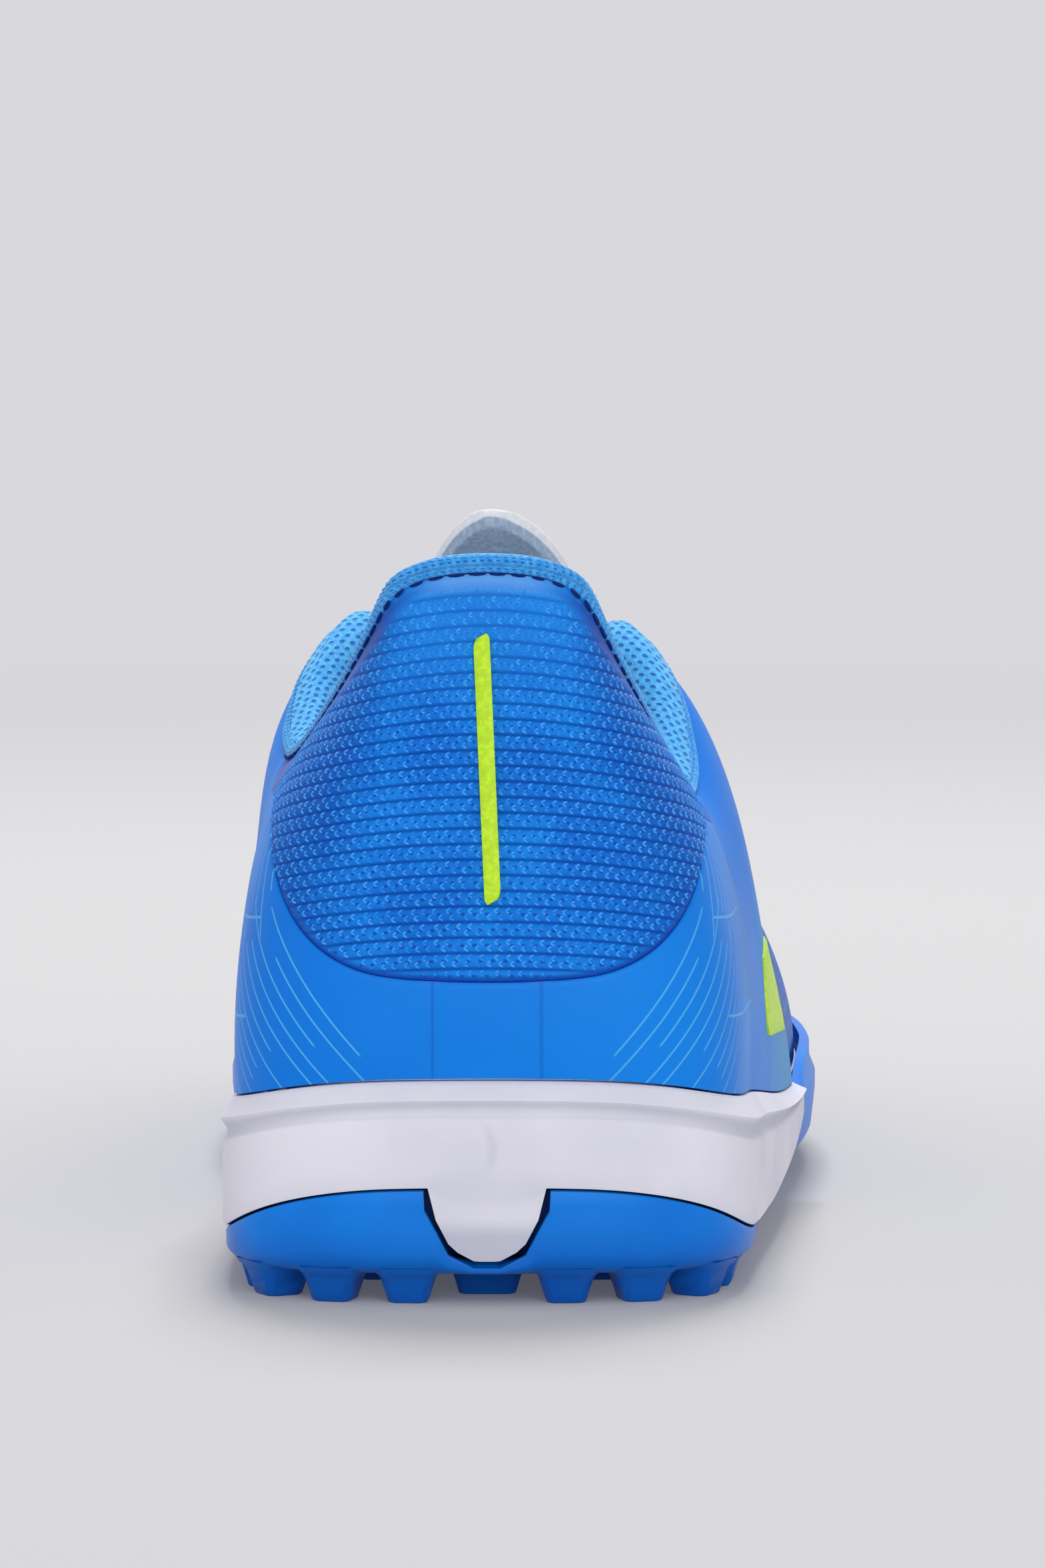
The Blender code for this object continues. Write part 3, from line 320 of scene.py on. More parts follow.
# The model's own curves aren't softened, so the middle of its box is worked out from the table
BOX_CENTRE_X = 0.5 * (max(row.width * row.lateral for row in OUTLINE)
                      - max(row.width * row.medial for row in OUTLINE))
HEEL_SHIFT = np.array([BOX_CENTRE_X, 0.5 * LENGTH, 0.0])
GRID_EDGES = ((slice(None), 0), (slice(None), -1), (0, slice(None)), (-1, slice(None)))
FINE_PLACES = np.linspace(0.0, LAST_ROW, 800)
FINE_Y = outline_y(FINE_PLACES)
THROAT_ROWS = np.linspace(8.0, 12.8, 240)
THROAT_Y = top_y(THROAT_ROWS)


def toe_lift(y):
    return TOE_SPRING * np.clip((y / LENGTH - TOE_LIFTS) / (1.0 - TOE_LIFTS), 0.0, 1.0) ** 2


def under_z(y):
    """Underside of the outsole between its lugs."""
    arch = smooth(y / LENGTH, *ARCH_RISES) - smooth(y / LENGTH, *ARCH_FALLS)
    return LUG_HEIGHT + ARCH_LIFT * arch + toe_lift(y)


def bed_z(y):
    return HEEL_BED + (FORE_BED - HEEL_BED) * smooth(y / LENGTH, *BED_FALLS) + toe_lift(y)


def feather_z(place):
    return feather_base(place) + toe_lift(outline_y(place))


def shows(place):
    """Share of the midsole's side that stands proud of the cup."""
    return smooth(feather_base(place) - cup_base(place), LIP_ROOM, LIP_FADE)


def walked(points):
    """Distance walked along a line of points, from its first."""
    return np.concatenate([[0.0], np.cumsum(np.linalg.norm(np.diff(points, axis=0), axis=-1))])


def stack_points(x, y, z):
    return np.stack(np.broadcast_arrays(x, y, z), axis=-1)


def inset_points(place, inset, height):
    """Points an inset inside the sole's outline, at a height."""
    step = 0.05
    way_x = outline_x(place + step) - outline_x(place - step)
    way_y = outline_y(place + step) - outline_y(place - step)
    size = np.hypot(way_x, way_y)
    return stack_points(outline_x(place) - way_y / size * inset,
                        outline_y(place) + way_x / size * inset, height)


def cup_line(place):
    return cup_base(place) + toe_lift(outline_y(place))


def cup_z(place, gap=0.0):
    """Top line of the outsole's cup, with the fall for the midsole's wedge at the back of the heel."""
    across = np.abs(outline_x(place)) / (WEDGE_HALF_WIDTH - gap)
    drop = (WEDGE_DEPTH - gap) * np.interp(across, WEDGE_ACROSS, WEDGE_DOWN)
    return cup_line(place) - np.where((across > 1.0) | (np.abs(place) > 2.0), 0.0, drop)


def plate_top(place):
    return under_z(outline_y(place)) + PLATE


def wall_inset(place, height):
    """Inset of the sole's outer side at a height, without its lip."""
    low = under_z(outline_y(place))
    share = np.clip((height - low) / (feather_z(place) - low), 0.0, 1.0)
    front = (1.0 - shows(place)) * CUP_TOP_INSET * smooth(share, 0.7, 1.2) * 2.0
    return BAND_INSET * shows(place) + tuck(place) * (1.0 - share) + front


def cup_inner(place, height):
    top = cup_line(place)
    depth = np.maximum(top - plate_top(place), CUP_DRAFT)
    return wall_inset(place, top) + CUP_WALL + CUP_DRAFT * np.clip((top - height) / depth, 0.0, 1.0)


def feather_inset(place):
    hidden = cup_inner(place, feather_z(place)) + 2.0 * CLEARANCE
    return FEATHER_INSET * shows(place) + hidden * (1.0 - shows(place))


def unit(vectors):
    return vectors / np.maximum(np.linalg.norm(vectors, axis=-1, keepdims=True), 1e-12)


def top_points(place):
    """Top line: the collar's and throat's edge, then the ridge of the vamp that both sides share."""
    near = stack_points(top_x(place), top_y(place), top_z(place))
    far = stack_points(top_x(-place), top_y(-place), top_z(-place))
    return np.where((np.abs(place) >= VAMP_ROW)[..., None], 0.5 * (near + far), near)


def upper_profile(place):
    """The four handles of the upper's side, from the sole to the top line."""
    up = np.array([0.0, 0.0, 1.0])
    low = inset_points(place, feather_inset(place), feather_z(place) + CLEARANCE)
    top = top_points(place)
    out = unit((low - top) * np.array([1.0, 1.0, 0.0]))
    rise = (low_reach(place) * (top[..., 2] - low[..., 2]))[..., None]
    span = (top_reach(place) * np.linalg.norm(top - low, axis=-1))[..., None]
    first = low + rise * (up + out * np.tan(low_lean(place))[..., None])
    lean = top_lean(place)[..., None]
    second = top + span * (out * np.sin(lean) - up * np.cos(lean))
    return low, first, second, top


def upper_points(place, share):
    """Outer face of the upper at places and shares of one shape."""
    place, share = np.broadcast_arrays(np.asarray(place, dtype=float), np.asarray(share, dtype=float))
    low, first, second, top = upper_profile(place)
    s = share[..., None]
    r = 1.0 - s
    return r ** 3 * low + 3.0 * r * r * s * first + 3.0 * r * s * s * second + s ** 3 * top


def upper_normals(place, share):
    """Outward normals of the upper's outer face; both sides agree on the ridge and at the toe's crown."""
    place, share = np.broadcast_arrays(np.asarray(place, dtype=float), np.asarray(share, dtype=float))
    on_ridge = (np.abs(place) >= VAMP_ROW) & (share > 0.999)
    at_crown = on_ridge & (np.abs(place) > VAMP_ROW + 2.9)
    spot = np.where(at_crown, (LAST_ROW - 2.0) * np.sign(place), place)
    here = np.where(np.abs(place) >= VAMP_ROW, np.minimum(share, 0.975), share)

    def one_side(spots):
        step = 0.03
        around = upper_points(spots + step, here) - upper_points(spots - step, here)
        rise = (upper_points(spots, np.minimum(here + step, 1.0))
                - upper_points(spots, np.maximum(here - step, 0.0)))
        return unit(np.cross(around, rise))

    near = one_side(spot)
    shared = near + one_side(-spot)
    shared[..., 0] = np.where(at_crown, 0.0, shared[..., 0])
    return unit(np.where(on_ridge[..., None], shared, near))


def wall_at(place, share):
    """Thickness of the upper: its wall, and the collar's padding near the top line."""
    collar = 1.0 - smooth(np.abs(place), *COLLAR_ENDS)
    return WALL + COLLAR_PAD * collar * smooth(share, *PAD_GROWS)


def side_lengths(place, count=160):
    """Shares up the side and the distance up it at each, for every place."""
    shares = np.linspace(0.0, 1.0, count)
    points = upper_points(place[:, None], shares[None, :])
    steps = np.linalg.norm(np.diff(points, axis=1), axis=-1)
    return shares, np.concatenate([np.zeros((len(place), 1)), np.cumsum(steps, axis=1)], axis=1), points


def around_at(place):
    """Distance round the outline from the back of the heel, plus on the lateral side."""
    fine = np.linspace(-LAST_ROW, LAST_ROW, 1600)
    line = stack_points(outline_x(fine), outline_y(fine), 0.0)
    run = walked(line)
    run = run - np.interp(0.0, fine, run)
    return np.interp(place, fine, run)


def add_object(name, data):
    """A new object for a mesh, lamp or camera, in the scene."""
    made = bpy.data.objects.new(name, data)
    bpy.context.scene.collection.objects.link(made)
    return made


def small_form(name, points, faces):
    """An object whose mesh is copied elsewhere."""
    mesh = bpy.data.meshes.new(name)
    mesh.from_pydata(points, [], faces)
    return add_object(name, mesh)


class Shell:
    """Grids of points, their faces and their marks, gathered into one mesh."""

    def __init__(self):
        self.points = []
        self.faces = []
        self.marks = {}
        self.count = 0

    def grid(self, points, **marks):
        points = np.asarray(points, dtype=float)
        numbers = self.count + np.arange(points[..., 0].size).reshape(points.shape[:-1])
        self.points.append(points.reshape(-1, 3))
        self.count += numbers.size
        for name, values in marks.items():
            spread = np.broadcast_to(values, numbers.shape).ravel()
            self.marks.setdefault(name, []).append((numbers.ravel(), spread))
        return numbers

    def skin(self, numbers, closed=False, flip=False):
        """Faces over a grid, whose first axis runs round and whose second axis runs up."""
        rows = np.vstack([numbers, numbers[:1]]) if closed else numbers
        corners = [rows[:-1, :-1], rows[1:, :-1], rows[1:, 1:], rows[:-1, 1:]]
        quads = np.stack(corners[::-1] if flip else corners, axis=-1).reshape(-1, 4)
        self.faces.append(quads)

    def strip(self, low, high, closed=False):
        self.skin(np.stack([low, high], axis=1), closed)

    def slab(self, front, back, **marks):
        """A front and a back grid, joined round their edges."""
        front_numbers = self.grid(front, **marks)
        back_numbers = self.grid(back, **marks)
        self.skin(front_numbers)
        self.skin(back_numbers, flip=True)
        for edge in GRID_EDGES:
            self.strip(back_numbers[edge], front_numbers[edge])

    def lid(self, ring, up):
        """Close a ring with rungs between its medial and lateral points."""
        half = len(ring) // 2
        left, right = ring[half::-1], np.concatenate([ring[half:], ring[:1]])
        rungs = min(len(left), len(right))
        self.skin(np.stack([left[:rungs], right[:rungs]], axis=1), flip=up)

    def cap(self, loop):
        """Close a loop of points with rungs from its first half to its second."""
        half = len(loop) // 2
        self.skin(np.stack([loop[:half], loop[half:][::-1][:half]], axis=1))

    def make(self, name, sharp=40.0, merge=2e-6, solid=True):
        mesh = bpy.data.meshes.new(name)
        faces = [[corner for i, corner in enumerate(face) if corner != face[i - 1]]
                 for face in np.vstack(self.faces).tolist()]
        faces = [face for face in faces if len(set(face)) == len(face) > 2]
        mesh.from_pydata((np.vstack(self.points) - HEEL_SHIFT).tolist(), [], faces)
        for mark, parts in self.marks.items():
            values = np.zeros(self.count)
            for numbers, spread in parts:
                values[numbers] = spread
            mesh.attributes.new(mark, "FLOAT", "POINT").data.foreach_set("value", values)
        clean = bmesh.new()
        clean.from_mesh(mesh)
        bmesh.ops.remove_doubles(clean, verts=clean.verts, dist=merge)
        bmesh.ops.dissolve_degenerate(clean, edges=clean.edges, dist=merge)
        if solid:
            bmesh.ops.recalc_face_normals(clean, faces=clean.faces)
        clean.to_mesh(mesh)
        clean.free()
        mesh.shade_smooth()
        mesh.set_sharp_from_angle(angle=math.radians(sharp))
        return add_object(name, mesh)


def finish_piece(piece, material, slot, *nodes):
    """Give a piece its material, let it ride on the shoe, and hide the CAD parts that it stands for."""
    piece.data.materials.clear()
    piece.data.materials.append(material)
    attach(piece, "root")
    if nodes:
        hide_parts(*nodes)
    return piece


SHINE = 0.15


class Signal:
    """A value or colour in a material's nodes, written with ordinary arithmetic."""

    def __init__(self, finish, socket):
        self.finish = finish
        self.socket = socket

    def __add__(self, other):
        return self.finish.maths("ADD", self, other)

    __radd__ = __add__

    def __sub__(self, other):
        return self.finish.maths("SUBTRACT", self, other)

    def __rsub__(self, other):
        return self.finish.maths("SUBTRACT", other, self)

    def __mul__(self, other):
        return self.finish.maths("MULTIPLY", self, other)

    __rmul__ = __mul__

    def __truediv__(self, other):
        return self.finish.maths("DIVIDE", self, other)

    def __abs__(self):
        return self.finish.maths("ABSOLUTE", self)

    def floor(self):
        return self.finish.maths("FLOOR", self)

    def fract(self):
        return self.finish.maths("FRACT", self)

    def sine(self):
        return self.finish.maths("SINE", self)

    def least(self, other):
        return self.finish.maths("MAXIMUM", self, other)


class Finish:
    """A material and the nodes that make it."""

    def __init__(self, name, roughness=0.5, coat=0.0, sheen=0.0, sheen_tint=(1.0, 1.0, 1.0)):
        self.material = bpy.data.materials.new(name)
        self.material.use_nodes = True
        self.tree = self.material.node_tree
        self.shader = self.tree.nodes["Principled BSDF"]
        self.shader.inputs["Roughness"].default_value = roughness
        self.shader.inputs["Specular IOR Level"].default_value = SHINE
        self.shader.inputs["Coat Weight"].default_value = coat
        self.shader.inputs["Coat Roughness"].default_value = 0.25
        self.shader.inputs["Sheen Weight"].default_value = sheen
        self.shader.inputs["Sheen Tint"].default_value = (*sheen_tint, 1.0)

    def node(self, kind, settings=None, values=None, output=0):
        """Add a node: its settings first, then the values or links of its sockets."""
        node = self.tree.nodes.new(kind)
        for key, value in (settings or {}).items():
            setattr(node, key, value)
        for key, value in (values or {}).items():
            if isinstance(value, Signal):
                self.tree.links.new(value.socket, node.inputs[key])
            else:
                node.inputs[key].default_value = value
        return Signal(self, node.outputs[output])

    def maths(self, operation, *terms):
        return self.node("ShaderNodeMath", {"operation": operation}, dict(enumerate(terms)))

    def mark(self, name):
        """A mark that the mesh carries at its points."""
        return self.node("ShaderNodeAttribute", {"attribute_name": name}, output=2)

    def spot(self):
        """Place on the shoe, in metres."""
        return self.node("ShaderNodeTexCoord", output=3)

    def parts(self, vector):
        split = self.node("ShaderNodeSeparateXYZ", values={0: vector})
        return [Signal(self, socket) for socket in split.socket.node.outputs]

    def from_heel(self, spot):
        """Places across, along and up, measured across from the middle of the heel."""
        x, y, z = self.parts(spot)
        return x + BOX_CENTRE_X, y, z

    def join(self, x, y, z=0.0):
        return self.node("ShaderNodeCombineXYZ", values={0: x, 1: y, 2: z})

    def noise(self, vector, scale, detail=2.0, rough=0.5):
        return self.node("ShaderNodeTexNoise", values={"Vector": vector, "Scale": scale, "Detail": detail,
                                                       "Roughness": rough})

    def cells(self, vector, scale):
        return self.node("ShaderNodeTexVoronoi", values={"Vector": vector, "Scale": scale})

    def step(self, value, start, end):
        """Rise from 0 to 1 between start and end."""
        return self.node("ShaderNodeMapRange", {"interpolation_type": "SMOOTHSTEP"},
                         {"Value": value, "From Min": start, "From Max": end})

    def line(self, value, centre, half_width, soft):
        """1 within half a width of a centre, with soft edges."""
        return 1.0 - self.step(abs(value - centre), half_width - soft, half_width + soft)

    def mix(self, factor, one, other):
        colours = {}
        for key, colour in ((6, one), (7, other)):
            colours[key] = colour if isinstance(colour, Signal) else (*colour, 1.0)
        return self.node("ShaderNodeMix", {"data_type": "RGBA"}, {0: factor, **colours}, output=2)

    def bump(self, height, distance, strength=1.0, under=None):
        values = {"Height": height, "Distance": distance, "Strength": strength}
        if under is not None:
            values["Normal"] = under
        return self.node("ShaderNodeBump", values=values)

    def close(self, colour, roughness=None, normal=None):
        """Connect what varies over the surface to the shader."""
        for key, value in (("Base Color", colour), ("Roughness", roughness), ("Normal", normal)):
            if isinstance(value, Signal):
                self.tree.links.new(value.socket, self.shader.inputs[key])
        return self.material


def rgb(red, green, blue):
    """Linear colour of a screen colour given in parts of 255."""
    return tuple((c / 255.0 / 12.92) if c <= 10 else ((c / 255.0 + 0.055) / 1.055) ** 2.4
                 for c in (red, green, blue))


# Dark blue of the knit's pinholes, also used as painted shade in its grooves and on the recess under the heel
# knit
PINHOLE_AND_SHADE_BLUE = rgb(2, 48, 140)
KNIT_BLUE = rgb(2, 108, 209)
KNIT_MID = rgb(6, 129, 226)
# Painted highlight for the knit high in the middle of the heel
KNIT_TOP_HIGHLIGHT = rgb(40, 152, 240)
# Painted shade for the knit where the heel turns away at its sides
KNIT_SHADE = rgb(2, 70, 164)
STITCH_BLUE = rgb(26, 134, 234)
STITCH_LIGHT = rgb(66, 164, 246)
VIOLET_BLUE = rgb(4, 58, 170)
# Painted sheen: lilac highlight of the knit just under the tape
LILAC_SHEEN = rgb(100, 166, 240)
COAT_BLUE = rgb(2, 118, 220)
COAT_LIGHT = rgb(8, 130, 228)
SEAM_BLUE = rgb(12, 84, 176)
CYAN = rgb(52, 148, 200)
WRAP_BLUE = rgb(8, 84, 178)
# Painted highlight: pale streaks standing in for the light on the wrap's fine vertical ribs
WRAP_STREAK_HIGHLIGHT = rgb(40, 110, 192)
GRID_GREY = rgb(62, 122, 190)
PRINT_BLUE = rgb(96, 190, 236)
RUBBER_BLUE = rgb(4, 113, 213)
RUBBER_LIGHT = rgb(8, 130, 230)
# Painted shade of the rubber low on its wall and under the sole
RUBBER_PAINTED_SHADE = rgb(4, 62, 152)
BINDING_BLUE = rgb(42, 144, 226)
BINDING_LIGHT = rgb(80, 176, 242)
BINDING_DEEP = rgb(14, 92, 180)
LINING_BLUE = rgb(62, 164, 234)
LINING_LIGHT = rgb(96, 190, 246)
LINING_DEEP = rgb(14, 92, 188)
FOAM_WHITE = rgb(226, 225, 234)
FOAM_SHADE = rgb(214, 213, 224)
SCUFF_GREY = rgb(150, 150, 164)
# Painted shade of the foam's set-back band under the lip
BAND_SHADE = rgb(178, 179, 196)
# Painted shade of the wedge's downward-facing lower part
WEDGE_SHADE = rgb(182, 186, 202)
LIME = rgb(196, 240, 44)
TONGUE_WHITE = rgb(218, 222, 225)
TONGUE_GREY = rgb(140, 162, 184)
TONGUE_PALE = rgb(166, 184, 202)
LACE_WHITE = rgb(230, 232, 236)
LACE_SHADE = rgb(176, 182, 192)
THREAD_BLUE = rgb(8, 42, 120)
EYELET_BLUE = rgb(12, 78, 172)
# Navy of the insole, also used as painted shade on the foam's inner faces beside the wedge
NAVY = rgb(14, 42, 96)


# Camera and stage: the photograph is 1568 by 2353, taken about a metre behind the heel
PHOTO_HEIGHT = 2353
FOCAL_PIXELS = 10690
SENSOR = 36.0
CAMERA_BACK = 0.985
CAMERA_HEIGHT = 0.138
CAMERA_PITCH = math.radians(3.77)
PAPER = rgb(217, 216, 221)
PAPER_NEAR = rgb(187, 186, 186)
GLOW_NEAR = 0.11
SPREAD = (0.45, 1.9)
WORLD_COLOUR = (0.97, 0.98, 1.0, 1.0)
WORLD_GLOW = 0.24
# The floor: radius of its flat part, radius and height of its rim, rings of the curve and its spokes
FLOOR_FLAT = 4.0
FLOOR_RADIUS = 7.0
FLOOR_RIM = 7.5
FLOOR_RINGS = 14
FLOOR_SPOKES = 72
# The lights: name, place, size in metres and power in watts; all look at the shoe's middle
LIGHT_AIM = (0.0, -0.05, 0.05)
LIGHTS = [("key", (0.20, -2.1, 0.85), 1.5, 17.0), ("fill", (-1.8, -1.2, 1.0), 1.8, 3.5),
          ("top", (0.05, 0.80, 1.9), 0.8, 34.0), ("rim", (1.8, -0.6, 1.2), 1.6, 2.0)]


def add_camera():
    data = bpy.data.cameras.new("camera")
    data.sensor_fit = "VERTICAL"
    data.sensor_height = SENSOR
    data.lens = SENSOR * FOCAL_PIXELS / PHOTO_HEIGHT
    data.clip_end = 50.0
    camera = add_object("camera", data)
    camera.location = (0.0, -0.5 * LENGTH - CAMERA_BACK, CAMERA_HEIGHT)
    camera.rotation_euler = (math.radians(90.0) - CAMERA_PITCH, 0.0, 0.0)
    bpy.context.scene.camera = camera


def add_light(name, place, size, power):
    """A soft square light that looks at the shoe."""
    data = bpy.data.lights.new(name, "AREA")
    data.size = size
    data.energy = power
    lamp = add_object(name, data)
    lamp.location = place
    aim = Vector(LIGHT_AIM) - Vector(place)
    lamp.rotation_euler = aim.to_track_quat("-Z", "Y").to_euler()


def add_stage():
    """Pale floor that curves up into a backdrop on every side, plain grey world and soft lights."""
    shell = Shell()
    radii = [0.0, 0.5 * FLOOR_FLAT, FLOOR_FLAT]
    heights = [0.0, 0.0, 0.0]
    curve = FLOOR_RADIUS - FLOOR_FLAT
    for i in range(1, FLOOR_RINGS + 1):
        turn = 0.5 * math.pi * i / FLOOR_RINGS
        radii.append(FLOOR_FLAT + curve * math.sin(turn))
        heights.append(curve * (1.0 - math.cos(turn)))
    radii.append(FLOOR_RADIUS)
    heights.append(FLOOR_RIM)
    turns = np.linspace(0.0, 2.0 * math.pi, FLOOR_SPOKES, endpoint=False)
    points = stack_points(np.outer(np.cos(turns), radii) + BOX_CENTRE_X,
                          np.outer(np.sin(turns), radii) + 0.5 * LENGTH, np.array(heights)[None, :])
    shell.skin(shell.grid(points), closed=True, flip=True)
    floor = shell.make("studio_floor", sharp=80.0, solid=False)
    paper = Finish("studio paper", roughness=0.9)
    paper.shader.inputs["Specular IOR Level"].default_value = 0.0
    paper.shader.inputs["Emission Strength"].default_value = 1.0
    x, y, z = paper.parts(paper.spot())
    away = paper.maths("POWER", x * x + y * y + z * z, 0.5)
    far = paper.step(away, *SPREAD)
    dim = tuple(GLOW_NEAR * part for part in PAPER)
    paper.tree.links.new(paper.mix(far, dim, PAPER).socket, paper.shader.inputs["Emission Color"])
    floor.data.materials.append(paper.close(paper.mix(far, PAPER_NEAR, (0.0, 0.0, 0.0))))
    world = bpy.data.worlds.new("studio")
    world.use_nodes = True
    sky = world.node_tree.nodes["Background"]
    sky.inputs["Color"].default_value = WORLD_COLOUR
    sky.inputs["Strength"].default_value = WORLD_GLOW
    bpy.context.scene.world = world
    bpy.context.scene.view_settings.view_transform = "Standard"
    for light in LIGHTS:
        add_light(*light)


# The upper's relief: how the quarters' film ends at the heel panel, seams and soft creases
FILM_ROUND = 0.0011
SEAM_X = 0.0076
SEAM_DEPTH = 0.00030
SEAM_HALF = 0.00055
VAMP_CREASES = [(12.45, 0.55, 0.16, 0.00055), (13.05, 0.62, 0.18, 0.00060), (13.7, 0.60, 0.20, 0.00045)]
HEEL_CREASES = [(-5.4, 0.58, 0.35, 0.00040), (5.6, 0.56, 0.35, 0.00045)]
UPPER_BELOW = 26
UPPER_ABOVE = 30


def edge_shares(place):
    """Share up the side at which the heel panel begins, from its table's share of the rise."""
    shares, _, points = side_lengths(place)
    heights = points[..., 2]
    aims = heights[:, 0] + panel_share(place) * (heights[:, -1] - heights[:, 0])
    rising = np.maximum.accumulate(heights, axis=1)
    return np.array([np.interp(aim, row, shares) for aim, row in zip(aims, rising)])


def creases(place, share):
    """Soft troughs and ridges where the shoe bends over the ball and behind the ankle."""
    total = np.zeros(np.broadcast(place, share).shape)
    for centre, high, width, depth in VAMP_CREASES:
        away = (np.abs(place) - centre - 0.35 * (share - high)) / width
        total -= depth * np.exp(-away ** 2) * smooth(share, 0.25, 0.6)
        total += 0.6 * depth * np.exp(-(away - 1.5) ** 2) * smooth(share, 0.25, 0.6)
    for centre, high, width, depth in HEEL_CREASES:
        away = (place - centre - 0.8 * (share - high)) / width
        total -= depth * np.exp(-away ** 2 - ((share - high) / 0.16) ** 2)
    return total


def build_upper_shell():
    """Hollow upper: quarters and vamp outside, set back at the heel panel, and a smooth inside."""
    places = np.round(np.linspace(-LAST_ROW, LAST_ROW, 2 * LAST_ROW * FINE_STEPS, endpoint=False), 9)
    shares, lengths, _ = side_lengths(places)
    edges = edge_shares(places)
    edge_run = np.array([np.interp(edge, shares, row) for edge, row in zip(edges, lengths)])
    below = np.linspace(0.0, 1.0, UPPER_BELOW)
    above = np.linspace(0.0, 1.0, UPPER_ABOVE)
    near = np.array([-0.75, -0.45, -0.2, 0.0, 0.05, 0.6]) * FILM_ROUND
    edge_column = edge_run[:, None]
    runs = np.concatenate([below * (edge_column - FILM_ROUND), edge_column + near,
                           (edge_column + FILM_ROUND) + above * (lengths[:, -1:] - edge_column - FILM_ROUND)],
                          axis=1)
    table = np.array([np.interp(run, row, shares) for run, row in zip(runs, lengths)])
    spots = np.broadcast_to(places[:, None], table.shape)
    points = upper_points(spots, table)
    normals = upper_normals(spots, table)
    normals[:, 0] = unit(normals[:, 0] * np.array([1.0, 1.0, 0.0]))
    depth = PANEL_STEP * (1.0 - smooth(np.abs(places), *PANEL_ENDS))[:, None]
    past = runs - edge_column
    rounding = 0.5 * np.clip(1.0 + past / FILM_ROUND, 0.0, 1.0) ** 3
    relief = -depth * np.where(past > 0.01 * FILM_ROUND, 1.35, rounding)
    across = np.abs(points[..., 0])
    heel = (np.abs(spots) < 4.0) & (past < 0.0)
    relief = relief - np.where(heel, SEAM_DEPTH * np.exp(-((across - SEAM_X) / SEAM_HALF) ** 2), 0.0)
    relief = relief + creases(spots, table)
    outer_points = points + normals * relief[..., None]
    thickness = wall_at(spots, table)
    inner_points = points - normals * thickness[..., None]
    shell = Shell()
    marks = {"around": around_at(spots), "panel": np.where(depth > 0.0, past, -1.0),
             "rim": lengths[:, -1:] - runs, "rise": runs}
    outer = shell.grid(outer_points, inside=0.0, **marks)
    inner = shell.grid(inner_points, inside=1.0, **marks)
    shell.skin(outer, closed=True)
    shell.skin(inner, closed=True, flip=True)
    shell.strip(inner[:, 0], outer[:, 0], closed=True)
    open_rows = np.where(np.abs(places) < VAMP_ROW + 1e-6)[0]
    first, last = open_rows[0], open_rows[-1]
    roll = CLEARANCE + COLLAR_ROLL * (1.0 - smooth(np.abs(places), *COLLAR_ENDS))
    middle_points = 0.5 * (outer_points[:, -1] + inner_points[:, -1]) + stack_points(0.0, 0.0, 0.8 * roll)
    middle = shell.grid(middle_points[first:last + 1], inside=1.0, around=0.0, panel=-1.0, rim=0.0, rise=0.1)
    shell.strip(outer[first:last + 1, -1], middle)
    shell.strip(middle, inner[first:last + 1, -1])
    return shell.make("upper_shell", sharp=50.0)


# The soles' fine form: rounding at the lip and the band, and the lug's shape as shares of its size
LIP_SOFT = 0.035
WEDGE_PAD_DEPTH = 0.00055
LUG_FLARE = 0.0007
LUG_SOFT = 0.00035
LUG_CORNER = 0.30
# The foam's side from its top down: inset, and share of the height from the top edge to the foot
FOAM_SIDE = [(LIP_RECESS, 0.2 * LIP_SOFT), (LIP_RECESS * 0.75, LIP_EDGE * 0.22),
             (LIP_RECESS * 0.30, LIP_EDGE * 0.70), (0.00012, LIP_EDGE - 0.4 * LIP_SOFT),
             (0.0, LIP_EDGE), (0.00014, LIP_EDGE + 0.4 * LIP_SOFT),
             (LIP_UNDERCUT * 0.55, 0.5 * (LIP_EDGE + LIP_FOOT)), (LIP_UNDERCUT * 0.93, LIP_FOOT - 0.01),
             (LIP_UNDERCUT, LIP_FOOT + 0.02), (LIP_UNDERCUT, BAND_TOP - BAND_BEVEL - 0.005),
             (LIP_UNDERCUT * 0.8, BAND_TOP - 0.5 * BAND_BEVEL), (BAND_INSET * 1.25, BAND_TOP),
             (BAND_INSET, BAND_TOP + 0.015), (BAND_INSET, 0.6), (BAND_INSET, 0.8), (BAND_INSET, 0.97)]
# How much painted shade the foam gets at its rings 8 to 13, those of the undercut
FOAM_UNDERCUT_SHADE = [0.1, 0.8, 1.0, 1.0, 0.9, 0.4]


def sole_spots():
    """Places round the sole, closer together at the wedge and where the cup rises in the forefoot."""
    regular = np.linspace(-LAST_ROW, LAST_ROW, 2 * LAST_ROW * FINE_STEPS, endpoint=False)
    fine = np.linspace(0.0, 2.0, 400)
    across = outline_x(fine)
    corners = [WEDGE_HALF_WIDTH * share for share in WEDGE_ACROSS[1:]] + [WEDGE_HALF_WIDTH - WEDGE_GAP]
    extra = [float(np.interp(half, across, fine)) for half in corners]
    extra = np.array([-spot for spot in extra] + extra)
    kept = [spot for spot in regular if np.min(np.abs(extra - spot)) > 0.02]
    return np.array(sorted(kept + list(extra)))


def ring_stack(shell, places, rings, **marks):
    """Lay one ring of points for each pair of inset and height, and return their numbers as a grid."""
    points = np.stack([inset_points(places, inset, height) for inset, height in rings], axis=1)
    return shell.grid(points, **marks)


